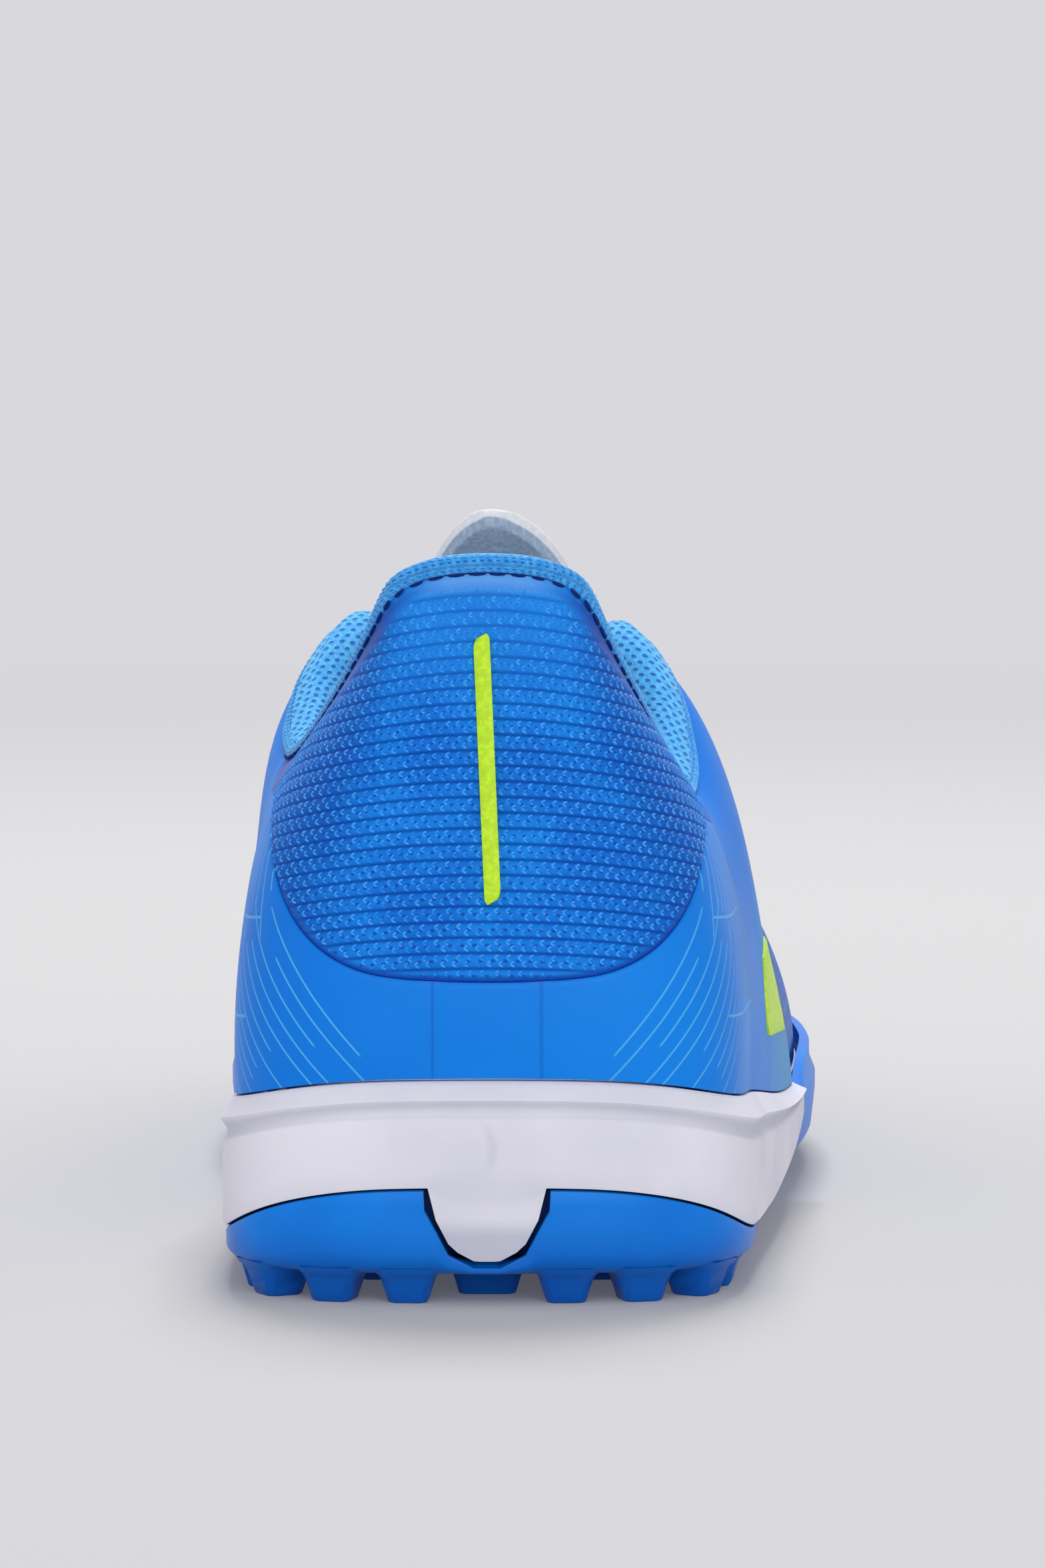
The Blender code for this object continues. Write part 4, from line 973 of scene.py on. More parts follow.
def build_outsole_cup():
    """Cup sole: rounded lower edge, walls up the heel and round the forefoot, and the plate inside."""
    places = sole_spots()
    low = under_z(outline_y(places))
    top = cup_z(places)
    knee = low + np.minimum(EDGE_ROUND, ROUND_MOST * (top - low))
    foot = wall_inset(places, 0.0)
    rings = []
    for i in range(7):
        turn = 0.5 * math.pi * i / 6
        rings.append((foot * (1.0 - math.sin(turn)) + wall_inset(places, knee) * math.sin(turn)
                      + EDGE_ROUND * (1.0 - math.sin(turn)), low + (knee - low) * (1.0 - math.cos(turn))))
    soft = np.minimum(0.0005, 0.2 * (top - knee))
    for share in (0.2, 0.4, 0.6, 0.8, 1.0):
        height = knee + share * (top - soft - knee)
        rings.append((wall_inset(places, height), height))
    rings.append((wall_inset(places, top) + 0.3 * soft, top - 0.3 * soft))
    rings.append((wall_inset(places, top) + soft, top))
    rings.append((cup_inner(places, cup_line(places)), top))
    rings.append((cup_inner(places, plate_top(places)), plate_top(places)))
    shell = Shell()
    numbers = ring_stack(shell, places, rings)
    shell.skin(numbers, closed=True)
    shell.lid(numbers[:, 0], up=False)
    shell.lid(numbers[:, -1], up=True)
    return shell.make("outsole_cup", sharp=35.0)


def build_midsole_foam():
    """Foam midsole: bevelled lip, set-back band, lower band with the wedge at the back, and the bed."""
    places = sole_spots()
    high = feather_z(places)
    shown = shows(places)
    foot = np.minimum(cup_line(places), high - LIP_ABOVE_CUP) + CLEARANCE
    low_edge = np.minimum(cup_z(places, WEDGE_GAP), high - LIP_ABOVE_CUP) + CLEARANCE

    def drawn_back(inset, height):
        hidden = cup_inner(places, height) + CLEARANCE
        return hidden + (inset - hidden) * shown

    def side(inset, share):
        height = high - share * (high - foot)
        return drawn_back(inset, height), height

    rings = [(feather_inset(places) + WALL + BED_INSET, bed_z(outline_y(places))),
             (feather_inset(places) + WALL + 2.0 * CLEARANCE, high),
             side(LIP_RECESS + 0.0003, 0.0)]
    for inset, share in FOAM_SIDE:
        rings.append(side(inset, share))
    levels = np.linspace(0.0, 1.0, 7)[1:]
    for level in levels:
        height = np.where(low_edge < foot - 1e-6, foot + level * (low_edge - foot), foot + 0.00001 * level)
        height = np.maximum(height, low_edge)
        rings.append((drawn_back(wall_inset(places, height) + WEDGE_PAD_DEPTH
                                 * smooth(foot - height, 0.0, 0.0004), height), height))
    rings.append((cup_inner(places, cup_line(places)) + CLEARANCE + CUP_DRAFT * (1.0 - shown),
                  low_edge - CLEARANCE * (1.0 - shown)))
    plate = plate_top(places)
    rings.append((cup_inner(places, plate) + 2.0 * CLEARANCE, plate + 2.0 * CLEARANCE))
    shell = Shell()
    # The foam's inner faces inside the cup, marked for painted shade
    deep = np.zeros(len(rings))
    deep[-2:] = 1.0
    # Weights of the painted shade in the set-back band
    sunk = np.zeros(len(rings))
    sunk[8:14] = FOAM_UNDERCUT_SHADE
    numbers = ring_stack(shell, places, rings, deep=deep[None, :], sunk=sunk[None, :] * shown[:, None])
    shell.skin(numbers, closed=True, flip=True)
    shell.lid(numbers[:, 0], up=True)
    shell.lid(numbers[:, -1], up=False)
    return shell.make("midsole_foam", sharp=38.0)


def build_insole_sock():
    """Insole with a soft raised edge."""
    places = np.linspace(-LAST_ROW, LAST_ROW, 2 * LAST_ROW * 8, endpoint=False)
    edge = feather_inset(places) + WALL + BED_INSET + CLEARANCE
    floor = bed_z(outline_y(places)) + CLEARANCE
    top = floor + INSOLE_THICKNESS
    rings = [(edge, floor), (edge, floor + 0.6 * INSOLE_THICKNESS), (edge + 0.0003, top - 0.0004),
             (edge + 0.0010, top), (edge + 0.0022, top - 0.0001), (edge + 0.0045, top - 0.0004)]
    shell = Shell()
    numbers = ring_stack(shell, places, rings)
    shell.skin(numbers, closed=True)
    shell.lid(numbers[:, 0], up=False)
    shell.lid(numbers[:, -1], up=True)
    return shell.make("insole_sock", sharp=50.0)


def ring_walk(inset, start, pitch):
    """Places on the lateral half whose inset points are a pitch apart, from the heel's back."""
    fine = np.linspace(0.0, LAST_ROW - 0.2, 800)
    points = inset_points(fine, inset, 0.0)
    run = walked(points)
    return np.interp(np.arange(start, run[-1], pitch), run, fine)


def lug_spots():
    """Centre, turn and root size of each lug: an edge row round heel and forefoot, and rows inside."""
    spots = []
    bare_from, bare_to = LENGTH * LUG_BARE[0], LENGTH * LUG_BARE[1]
    for place in ring_walk(LUG_EDGE, LUG_START, LUG_PITCH):
        for side in (1.0, -1.0):
            x, y, _ = inset_points(side * place, LUG_EDGE + tuck(place), 0.0)
            if y < bare_from or y > bare_to:
                ahead = inset_points(side * place, LUG_EDGE + tuck(place) + 0.001, 0.0)
                spots.append((x, y, math.atan2(-(ahead[0] - x), ahead[1] - y), LUG_ROOT))
    spots.append((0.0, HEEL_LUG_BACK, 0.0, HEEL_LUG_WIDTH))
    for y in np.arange(INNER_START, LENGTH - TOE_BARE, INNER_PITCH):
        if bare_from - LUG_PITCH < y < bare_to + LUG_PITCH:
            continue
        place = float(np.interp(y, FINE_Y, FINE_PLACES))
        left, right = outline_x(-place), outline_x(place)
        staggered = round((y - INNER_START) / INNER_PITCH) % 2
        room = right - left - 2.0 * (LUG_EDGE + LUG_ROOT + tuck(place))
        count = int(room / INNER_PITCH) + 1 - staggered
        for j in range(count):
            x = 0.5 * (left + right) + (j - 0.5 * (count - 1)) * INNER_PITCH
            near = [math.hypot(x - spot[0], y - spot[1]) / (LUG_ROOT + spot[3]) for spot in spots]
            if min(near) > 0.5 * LUG_SPACING:
                spots.append((x, y, 0.0, LUG_ROOT))
    return spots


def lug_form(name, width, depth, foot_width, foot_depth):
    """One lug, foot at zero: chamfered corners, hollow flanks, a flare at its root and a soft foot."""
    height = LUG_HEIGHT + LUG_SUNK
    sections = [(0.0, 0.0, -LUG_SOFT), (0.35 * LUG_SOFT, 0.0, -0.3 * LUG_SOFT), (LUG_SOFT, 0.02, 0.0),
                (0.35 * height, 0.30, 0.0), (0.62 * height, 0.58, 0.0),
                (0.78 * height, 0.80, 0.1 * LUG_FLARE),
                (0.87 * height, 1.0, 0.45 * LUG_FLARE), (height, 1.0, LUG_FLARE)]
    rings = []
    for z, share, spread in sections:
        half_x = 0.5 * (foot_width + share * (width - foot_width)) + spread
        half_y = 0.5 * (foot_depth + share * (depth - foot_depth)) + spread
        cut = LUG_CORNER * min(half_x, half_y)
        rings.append([(half_x, -half_y + cut, z), (half_x, half_y - cut, z), (half_x - cut, half_y, z),
                      (-half_x + cut, half_y, z), (-half_x, half_y - cut, z), (-half_x, -half_y + cut, z),
                      (-half_x + cut, -half_y, z), (half_x - cut, -half_y, z)])
    count = len(rings[0])
    points = [point for ring in rings for point in ring]
    faces = [tuple(range(count))[::-1], tuple(range((len(rings) - 1) * count, len(rings) * count))]
    for i in range(len(rings) - 1):
        for j in range(count):
            k = (j + 1) % count
            faces.append((i * count + j, i * count + k, (i + 1) * count + k, (i + 1) * count + j))
    return small_form(name, points, faces)


def copies_tree():
    """Nodes that set a copy of one form on each point, turned and stretched as the points say."""
    tree = bpy.data.node_groups.new("copies on points", "GeometryNodeTree")
    for name, kind in (("Points", "Geometry"), ("Form", "Object"), ("Size", "Float"), ("Finish", "Material")):
        tree.interface.new_socket(name, in_out="INPUT", socket_type="NodeSocket" + kind)
    tree.interface.new_socket("Copies", in_out="OUTPUT", socket_type="NodeSocketGeometry")
    source = tree.nodes.new("NodeGroupInput")
    target = tree.nodes.new("NodeGroupOutput")
    form = tree.nodes.new("GeometryNodeObjectInfo")
    placed = tree.nodes.new("GeometryNodeInstanceOnPoints")
    turned = tree.nodes.new("FunctionNodeEulerToRotation")
    sized = tree.nodes.new("ShaderNodeVectorMath")
    sized.operation = "SCALE"
    real = tree.nodes.new("GeometryNodeRealizeInstances")
    painted = tree.nodes.new("GeometryNodeSetMaterial")
    named = []
    for name in ("turn", "stretch"):
        node = tree.nodes.new("GeometryNodeInputNamedAttribute")
        node.data_type = "FLOAT_VECTOR"
        node.inputs["Name"].default_value = name
        named.append(node.outputs["Attribute"])
    joins = [(source.outputs["Form"], form, "Object"), (source.outputs["Points"], placed, "Points"),
             (form.outputs["Geometry"], placed, "Instance"), (named[0], turned, "Euler"),
             (turned.outputs["Rotation"], placed, "Rotation"), (named[1], sized, 0),
             (source.outputs["Size"], sized, "Scale"), (sized.outputs["Vector"], placed, "Scale"),
             (placed.outputs["Instances"], real, "Geometry"), (real.outputs["Geometry"], painted, "Geometry"),
             (source.outputs["Finish"], painted, "Material"), (painted.outputs["Geometry"], target, "Copies")]
    for output, node, key in joins:
        tree.links.new(output, node.inputs[key])
    return tree


def set_copies(name, form, points, turns, stretches, finish, size=1.0, sharp=40.0):
    """One mesh of copies of a form at points in the heel frame, each with its own turn and stretch."""
    mesh = bpy.data.meshes.new(name + "_points")
    mesh.from_pydata((np.asarray(points, dtype=float) - HEEL_SHIFT).tolist(), [], [])
    for mark, values in (("turn", turns), ("stretch", stretches)):
        mesh.attributes.new(mark, "FLOAT_VECTOR", "POINT").data.foreach_set(
            "vector", np.asarray(values, dtype=float).ravel())
    carrier = add_object(name + "_points", mesh)
    tree = bpy.data.node_groups.get("copies on points") or copies_tree()
    modifier = carrier.modifiers.new("copies", "NODES")
    modifier.node_group = tree
    sockets = {item.name: item.identifier for item in tree.interface.items_tree if item.in_out == "INPUT"}
    modifier[sockets["Form"]] = form
    modifier[sockets["Size"]] = size
    modifier[sockets["Finish"]] = finish
    bpy.context.view_layer.update()
    made = bpy.data.meshes.new_from_object(carrier.evaluated_get(bpy.context.evaluated_depsgraph_get()))
    bpy.data.objects.remove(carrier, do_unlink=True)
    bpy.data.objects.remove(form, do_unlink=True)
    made.name = name
    made.shade_smooth()
    made.set_sharp_from_angle(angle=math.radians(sharp))
    return add_object(name, made)


def tilted(turn, y):
    """Turn about the upright, then tilt with the rise of the toe."""
    slope = math.atan((toe_lift(y + 0.001) - toe_lift(y - 0.001)) / 0.002)
    return tuple((Matrix.Rotation(slope, 3, "X") @ Matrix.Rotation(turn, 3, "Z")).to_euler())


def build_lugs(finish):
    """All lugs as copies of one form, and the wide middle lug of the heel as another."""
    spots = lug_spots()
    plain = [spot for spot in spots if spot[3] == LUG_ROOT]
    wide = [spot for spot in spots if spot[3] != LUG_ROOT]
    wide_foot = HEEL_LUG_WIDTH - LUG_ROOT + LUG_FOOT
    pieces = []
    for name, group, width, foot in (("outsole_lugs", plain, LUG_ROOT, LUG_FOOT),
                                     ("heel_middle_lug", wide, HEEL_LUG_WIDTH, wide_foot)):
        form = lug_form(name + "_form", width, LUG_ROOT, foot, LUG_FOOT)
        points = [(x, y, toe_lift(y)) for x, y, _, _ in group]
        turns = [tilted(turn, y) for _, y, turn, _ in group]
        rises = [(under_z(y) + LUG_SUNK - toe_lift(y)) / (LUG_HEIGHT + LUG_SUNK) for _, y, _, _ in group]
        pieces.append(set_copies(name, form, points, turns, [(1.0, 1.0, rise) for rise in rises], finish))
    return pieces


# The heel's knit: rib spacing, how high the ribs stand, and how far their lines sag to the sides
RIB_PITCH = 0.00215
RIB_RELIEF = 0.00042
RIB_ROWS = 8
RIB_SAG = 0.0055
RIB_SAG_SPAN = 0.045
KNIT_LIFT = 0.00012
KNIT_ENDS = 5.3
RIM_BARE = 0.0016
# The smooth band under the tape: its width on top, and what it gains between which rows
ZONE_TOP = 0.0016
ZONE_SIDE = 0.0030
ZONE_SIDE_ROWS = (1.2, 2.6)
ZONE_LOW = 0.0056
ZONE_LOW_ROWS = (3.6, 5.4)
# The chevron stitches: pitch, the share of a rib and of a pitch at which each row lies, the smallest
# that is made, how far up the rib they stand, and a leaf's length, width, height and half opening
STITCH_PITCH = 0.00165
STITCH_ROWS = ((0.32, 0.0), (0.70, 0.5))
STITCH_SMALLEST = 0.25
STITCH_STAND = 0.40
STITCH_SIZE = (0.00098, 0.00040, 0.00013, math.radians(33.0))


def rib_height(around, z):
    """Height of a spot in the ribs' own lines, which dip towards the sides."""
    return z + RIB_SAG * (around / RIB_SAG_SPAN) ** 2


def smooth_zone(place):
    """Width of the band under the tape where the ribs fade out: narrow on top, wide at the low points."""
    away = np.abs(place)
    return (ZONE_TOP + ZONE_SIDE * smooth(away, *ZONE_SIDE_ROWS)
            + ZONE_LOW * smooth(away, *ZONE_LOW_ROWS))


class HeelPanel:
    """Places across the heel's panel, and the distances up it that its knit lies between."""

    def __init__(self, places):
        self.places = places
        self.shares, self.lengths, self.points = side_lengths(places, 320)
        edges = edge_shares(places)
        self.low = np.array([np.interp(edge, self.shares, row) for edge, row in zip(edges, self.lengths)])
        self.high = self.lengths[:, -1] - RIM_BARE
        self.around = around_at(places)

    def spots(self, heights):
        """Distances up each column at which it crosses the ribs' lines."""
        found = []
        for k in range(len(self.places)):
            line = np.maximum.accumulate(rib_height(self.around[k], self.points[k, :, 2]))
            found.append(np.interp(heights, line + 1e-9 * np.arange(len(line)), self.lengths[k]))
        return np.array(found)

    def surface(self, runs):
        table = np.array([np.interp(run, row, self.shares) for run, row in zip(runs, self.lengths)])
        spots = np.broadcast_to(self.places[:, None], table.shape)
        return upper_points(spots, table), upper_normals(spots, table)


def heel_lines(panel):
    """First and last rib line that the panel holds."""
    base = [np.interp(low, row, points[:, 2])
            for low, row, points in zip(panel.low, panel.lengths, panel.points)]
    lowest = np.min(rib_height(panel.around, np.array(base)))
    highest = np.max(rib_height(panel.around, panel.points[:, -1, 2]))
    return lowest, highest


def build_heel_knit():
    """Ribbed knit of the heel in its panel's recess, its rows on the ribs' own lines."""
    panel = HeelPanel(np.linspace(-KNIT_ENDS, KNIT_ENDS, 230))
    lowest, highest = heel_lines(panel)
    heights = np.arange(lowest - 0.001, highest + 0.001, RIB_PITCH / RIB_ROWS)
    runs = np.clip(panel.spots(heights), panel.low[:, None] + 0.0001, panel.high[:, None])
    points, normals = panel.surface(runs)
    rim = panel.lengths[:, -1:] - runs
    rib = np.mod(rib_height(panel.around[:, None], points[..., 2]) / RIB_PITCH, 1.0)
    proud = 1.0 - np.abs(2.0 * rib - 1.0) ** 2.2
    zone = smooth_zone(panel.places)[:, None]
    show = smooth(rim - RIM_BARE, 0.4 * zone, 1.5 * zone) * smooth(runs - panel.low[:, None], 0.0, 0.0012)
    edge = smooth(runs - panel.low[:, None], 0.0, 0.0011)
    fade = 1.0 - smooth(np.abs(panel.places), *PANEL_ENDS)[:, None]
    lift = KNIT_LIFT - PANEL_STEP * 0.75 * (1.0 - edge) * fade + RIB_RELIEF * (proud * show - 0.35 * show)
    outer = points + normals * lift[..., None]
    back = points - normals * (PANEL_STEP * 1.1 + 0.00025)
    shell = Shell()
    marks = {"rim": rim - RIM_BARE, "show": show, "around": panel.around[:, None],
             "rib": rib_height(panel.around[:, None], points[..., 2]) / RIB_PITCH}
    shell.slab(outer, back, **marks)
    return shell.make("heel_knit", sharp=60.0, merge=4e-6)


def leaf_pair(name, length, width, height, spread):
    """A small chevron: two leaf-shaped mounds that meet at its point."""
    points, faces = [], []
    for side in (-1.0, 1.0):
        turn = side * spread
        first = len(points)
        for scale, z in ((1.0, -0.5 * height), (0.62, height)):
            for k in range(6):
                angle = 2.0 * math.pi * k / 6
                x, y = 0.5 * length * scale * math.cos(angle), 0.5 * width * scale * math.sin(angle)
                aside = side * 0.42 * length * math.sin(spread)
                points.append((x * math.cos(turn) - y * math.sin(turn),
                               aside + x * math.sin(turn) + y * math.cos(turn), z))
        faces.append(tuple(first + 6 + k for k in range(6)))
        faces.append(tuple(first + 5 - k for k in range(6)))
        for k in range(6):
            j = (k + 1) % 6
            faces.append((first + k, first + j, first + 6 + j, first + 6 + k))
    return small_form(name, points, faces)


def frame_turn(forward, up):
    """Angles that turn x to a forward way and z to an up way."""
    x = unit(forward)
    y = unit(np.cross(up, x))
    z = np.cross(x, y)
    return tuple(Matrix(np.stack([x, y, z], axis=1).tolist()).to_euler())


def build_heel_stitches(finish):
    """Chevron stitches, two staggered rows on each rib, smaller towards the smooth band."""
    places = np.linspace(-KNIT_ENDS, KNIT_ENDS, 300)
    panel = HeelPanel(places)
    lowest, highest = heel_lines(panel)
    spots, turns, sizes = [], [], []
    first = math.ceil(lowest / RIB_PITCH)
    for number in range(first - 1, int(highest / RIB_PITCH) + 1):
        for half, offset in STITCH_ROWS:
            run = panel.spots(np.array([(number + half) * RIB_PITCH]))
            rim = panel.lengths[:, -1:] - run - RIM_BARE
            points, normals = panel.surface(run)
            walk = walked(points[:, 0])
            walk = walk - np.interp(0.0, panel.around, walk)
            count = int(walk[-1] / STITCH_PITCH)
            for k in range(-count, count + 1):
                aim = (k + offset) * STITCH_PITCH
                if aim < walk[0] or aim > walk[-1]:
                    continue
                pick = min(int(np.searchsorted(walk, aim)), len(walk) - 1)
                room = run[pick, 0] - panel.low[pick]
                zone = smooth_zone(places[pick])
                size = float(smooth(rim[pick, 0], 0.7 * zone, 1.8 * zone) * smooth(room, 0.0004, 0.0016))
                if size < STITCH_SMALLEST:
                    continue
                normal = normals[pick, 0]
                before, after = max(pick - 1, 0), min(pick + 1, len(walk) - 1)
                spots.append(points[pick, 0] + normal * (KNIT_LIFT + STITCH_STAND * RIB_RELIEF))
                turns.append(frame_turn(points[after, 0] - points[before, 0], normal))
                sizes.append((size, size, size))
    form = leaf_pair("stitch_form", *STITCH_SIZE)
    return set_copies("heel_stitches", form, spots, turns, sizes, finish, sharp=70.0)


# Plain marks: a slanted bar on the heel and a small patch on the lateral quarter
BAR_LOW = 0.0560
BAR_HIGH = 0.0935
BAR_WIDTH = 0.0022
BAR_LEAN = 0.0016
BAR_SLANT = 0.55
BAR_LIFT = 0.00042
BAR_CROWN = 0.00016
BAR_END_DROP = 0.00012
BAR_BACK = 0.0001
PATCH = [(6.7, 0.10), (8.9, 0.10), (8.8, 0.27), (6.9, 0.27)]
PATCH_LIFT = 0.00035
PATCH_EDGE = 0.00008
PATCH_SUNK = 0.0004


def build_heel_bar():
    """Plain raised bar of film up the middle of the heel, its two ends cut on the slant."""
    rows, columns = 90, 9
    panel = HeelPanel(np.linspace(-0.9, 0.9, 181))
    heights = np.linspace(BAR_LOW, BAR_HIGH, rows)
    across = np.linspace(-1.0, 1.0, columns)
    outer, back = [], []
    for i, height in enumerate(heights):
        share = i / (rows - 1)
        run = np.array([np.interp(height, points[:, 2], row)
                        for points, row in zip(panel.points, panel.lengths)])
        points, normals = panel.surface(run[:, None])
        line = points[:, 0, 0]
        end = 1.0 - min(share, 1.0 - share) * (rows - 1) / 3.0
        width = BAR_WIDTH * (1.0 - 0.35 * max(end, 0.0) ** 2)
        row_points, row_backs = [], []
        for spot in across:
            x = BAR_LEAN * (0.5 - share) + 0.5 * width * spot
            point = np.array([np.interp(x, line, points[:, 0, k]) for k in range(3)])
            normal = np.array([np.interp(x, line, normals[:, 0, k]) for k in range(3)])
            point[2] += BAR_SLANT * x
            crown = BAR_LIFT + BAR_CROWN * (1.0 - spot ** 4)
            lift = KNIT_LIFT + RIB_RELIEF + crown - BAR_END_DROP * (max(end, 0.0) > 0.9)
            row_points.append(point + normal * lift)
            row_backs.append(point - normal * BAR_BACK)
        outer.append(row_points)
        back.append(row_backs)
    shell = Shell()
    shell.slab(np.array(outer), np.array(back))
    return shell.make("heel_bar", sharp=55.0)


def build_quarter_patch():
    """Small plain patch of film on the lateral quarter, with rounded corners and soft edges."""
    steps = 28
    a = np.linspace(-1.0, 1.0, steps)
    u, v = np.meshgrid(a, a, indexing="ij")
    u, v = u * np.sqrt(1.0 - 0.18 * v ** 2), v * np.sqrt(1.0 - 0.18 * u ** 2)
    u, v = 0.5 + 0.5 * u, 0.5 + 0.5 * v
    corners = np.array(PATCH)
    spot = ((1 - u) * (1 - v))[..., None] * corners[0] + (u * (1 - v))[..., None] * corners[1] \
        + (u * v)[..., None] * corners[2] + ((1 - u) * v)[..., None] * corners[3]
    points = upper_points(spot[..., 0], spot[..., 1])
    normals = upper_normals(spot[..., 0], spot[..., 1])
    edge = np.minimum.reduce([u - u.min(), u.max() - u, v - v.min(), v.max() - v])
    lift = PATCH_LIFT * smooth(edge, 0.0, 0.06)
    shell = Shell()
    shell.slab(points + normals * (lift + PATCH_EDGE)[..., None], points - normals * PATCH_SUNK)
    return shell.make("quarter_patch", sharp=60.0)


# The collar's knit binding and its padded mesh lining
COLLAR_END = 8.7
BINDING_WIDTH = 0.0025
BINDING_THICKNESS = 0.0015
BINDING_DROP = 0.0002
LINING_FROM = 0.46
LINING_LIFT = 0.00035
LINING_SUNK = 0.0002
LINING_END_TURN = math.radians(158.0)
# The tape where it turns round the low points: share it grows by, the turn's row and its span,
# how much lower it lies past it, and between which rows it gets lower and thinner
TAPE_GROWTH = 0.35
TAPE_TURN = 5.4
TAPE_TURN_SPAN = 0.7
TAPE_LOWER = 0.0016
TAPE_LOWER_ROWS = (5.7, 6.6)
TAPE_THINNER = 0.45
TAPE_THINNER_ROWS = (6.0, 7.0)
# The tape's seam: pitch of its stitches, last row that has them, and a stitch's form
DASH_PITCH = 0.0029
DASH_END = 5.9
DASH_SIZE = (0.0024, 0.00080, 0.00030)


def collar_frame(places):
    """Outer and inner edges of the rim, and its outward, upward and onward ways."""
    ones = np.ones_like(places)
    outer = upper_points(places, ones)
    normal = upper_normals(places, ones)
    onward = unit(upper_points(places + 0.02, ones) - upper_points(places - 0.02, ones))
    upward = unit(np.cross(onward, normal))
    upward = upward * np.sign(upward[:, 2:3] + 1e-9)
    inner = outer - normal * wall_at(places, ones)[:, None]
    return outer, inner, normal, upward, onward


def loops_to_piece(name, loops, sharp, **marks):
    """A closed tube through equal loops of points, capped at both ends."""
    shell = Shell()
    numbers = shell.grid(loops, **marks)
    shell.skin(numbers.T, closed=True)
    shell.cap(numbers[0])
    shell.cap(numbers[-1])
    return shell.make(name, sharp=sharp)


def tape_swell(away):
    """Share by which the tape is thicker where it turns round the low points."""
    return 1.0 + TAPE_GROWTH * np.exp(-((away - TAPE_TURN) / TAPE_TURN_SPAN) ** 2)


def tape_lower(away):
    """How much lower the tape lies past the low points."""
    return TAPE_LOWER * smooth(away, *TAPE_LOWER_ROWS)


def build_collar_binding():
    """Knit tape along the collar's outer edge, thicker where it turns round the low points."""
    places = np.linspace(-COLLAR_END, COLLAR_END, 1100)
    outer, _, normal, upward, _ = collar_frame(places)
    away = np.abs(places)
    swell = tape_swell(away) - TAPE_THINNER * smooth(away, *TAPE_THINNER_ROWS)
    run = walked(outer)
    lower = tape_lower(away)
    turns = np.linspace(0.0, 2.0 * math.pi, 24, endpoint=False)
    loops = []
    for turn in turns:
        side, rise = math.cos(turn), math.sin(turn)
        tooth = 0.00013 * np.sin(2.0 * math.pi * run / 0.00112 + 1.7 * rise) * max(side, 0.0)
        wide = 0.5 * BINDING_WIDTH * swell * np.sign(rise) * abs(rise) ** 0.8
        thick = 0.5 * BINDING_THICKNESS * swell * np.sign(side) * abs(side) ** 0.8 + tooth
        centre = outer + normal * 0.00040 - upward * (BINDING_DROP + lower)[:, None]
        loops.append(centre + normal * thick[:, None] + upward * wide[:, None])
    loops = np.stack(loops, axis=1)
    return loops_to_piece("collar_binding", loops, 70.0, run=run[:, None], across=turns[None, :])


def dash_form(name, length, width, height):
    """A short rounded stitch, seen from above a pointed bar with a soft back."""
    points, faces = [], []
    sections = [(-0.5, 0.1), (-0.36, 0.8), (0.0, 1.0), (0.36, 0.8), (0.5, 0.1)]
    for place, scale in sections:
        for k in range(6):
            angle = 2.0 * math.pi * k / 6
            points.append((place * length, 0.5 * width * scale * math.cos(angle),
                           height * scale * math.sin(angle)))
    for i in range(len(sections) - 1):
        for k in range(6):
            j = (k + 1) % 6
            faces.append((i * 6 + k, (i + 1) * 6 + k, (i + 1) * 6 + j, i * 6 + j))
    faces.append((0, 1, 2, 3, 4, 5))
    faces.append(tuple(len(points) - 1 - k for k in range(6)))
    return small_form(name, points, faces)


def build_binding_stitches(finish):
    """Dark stitches in the seam under the binding."""
    places = np.linspace(-COLLAR_END + 0.4, COLLAR_END - 0.4, 1400)
    outer, _, normal, upward, onward = collar_frame(places)
    away = np.abs(places)
    drop = BINDING_DROP + 0.5 * BINDING_WIDTH * tape_swell(away)
    drop = drop + tape_lower(away)
    seam = outer - upward * (drop + 0.00005)[:, None] + normal * 0.00030
    run = walked(seam)
    spots, turns, sizes = [], [], []
    for k in range(int(run[-1] / DASH_PITCH)):
        pick = int(np.searchsorted(run, (k + 0.5) * DASH_PITCH))
        if away[pick] > DASH_END:
            continue
        spots.append(seam[pick])
        turns.append(frame_turn(onward[pick], normal[pick]))
        size = 0.85 + 0.3 * math.sin(12.9898 * k) ** 2
        sizes.append((size, 1.0, 1.0))
    form = dash_form("dash_form", *DASH_SIZE)
    return set_copies("binding_stitches", form, spots, turns, sizes, finish, sharp=80.0)


def lining_swell(rise):
    """Share of the padding's swell up the inner face: none at its foot, most near the rim."""
    return smooth(rise, 0.0, 0.55) * (1.0 - 0.55 * smooth(rise, 0.75, 1.0))


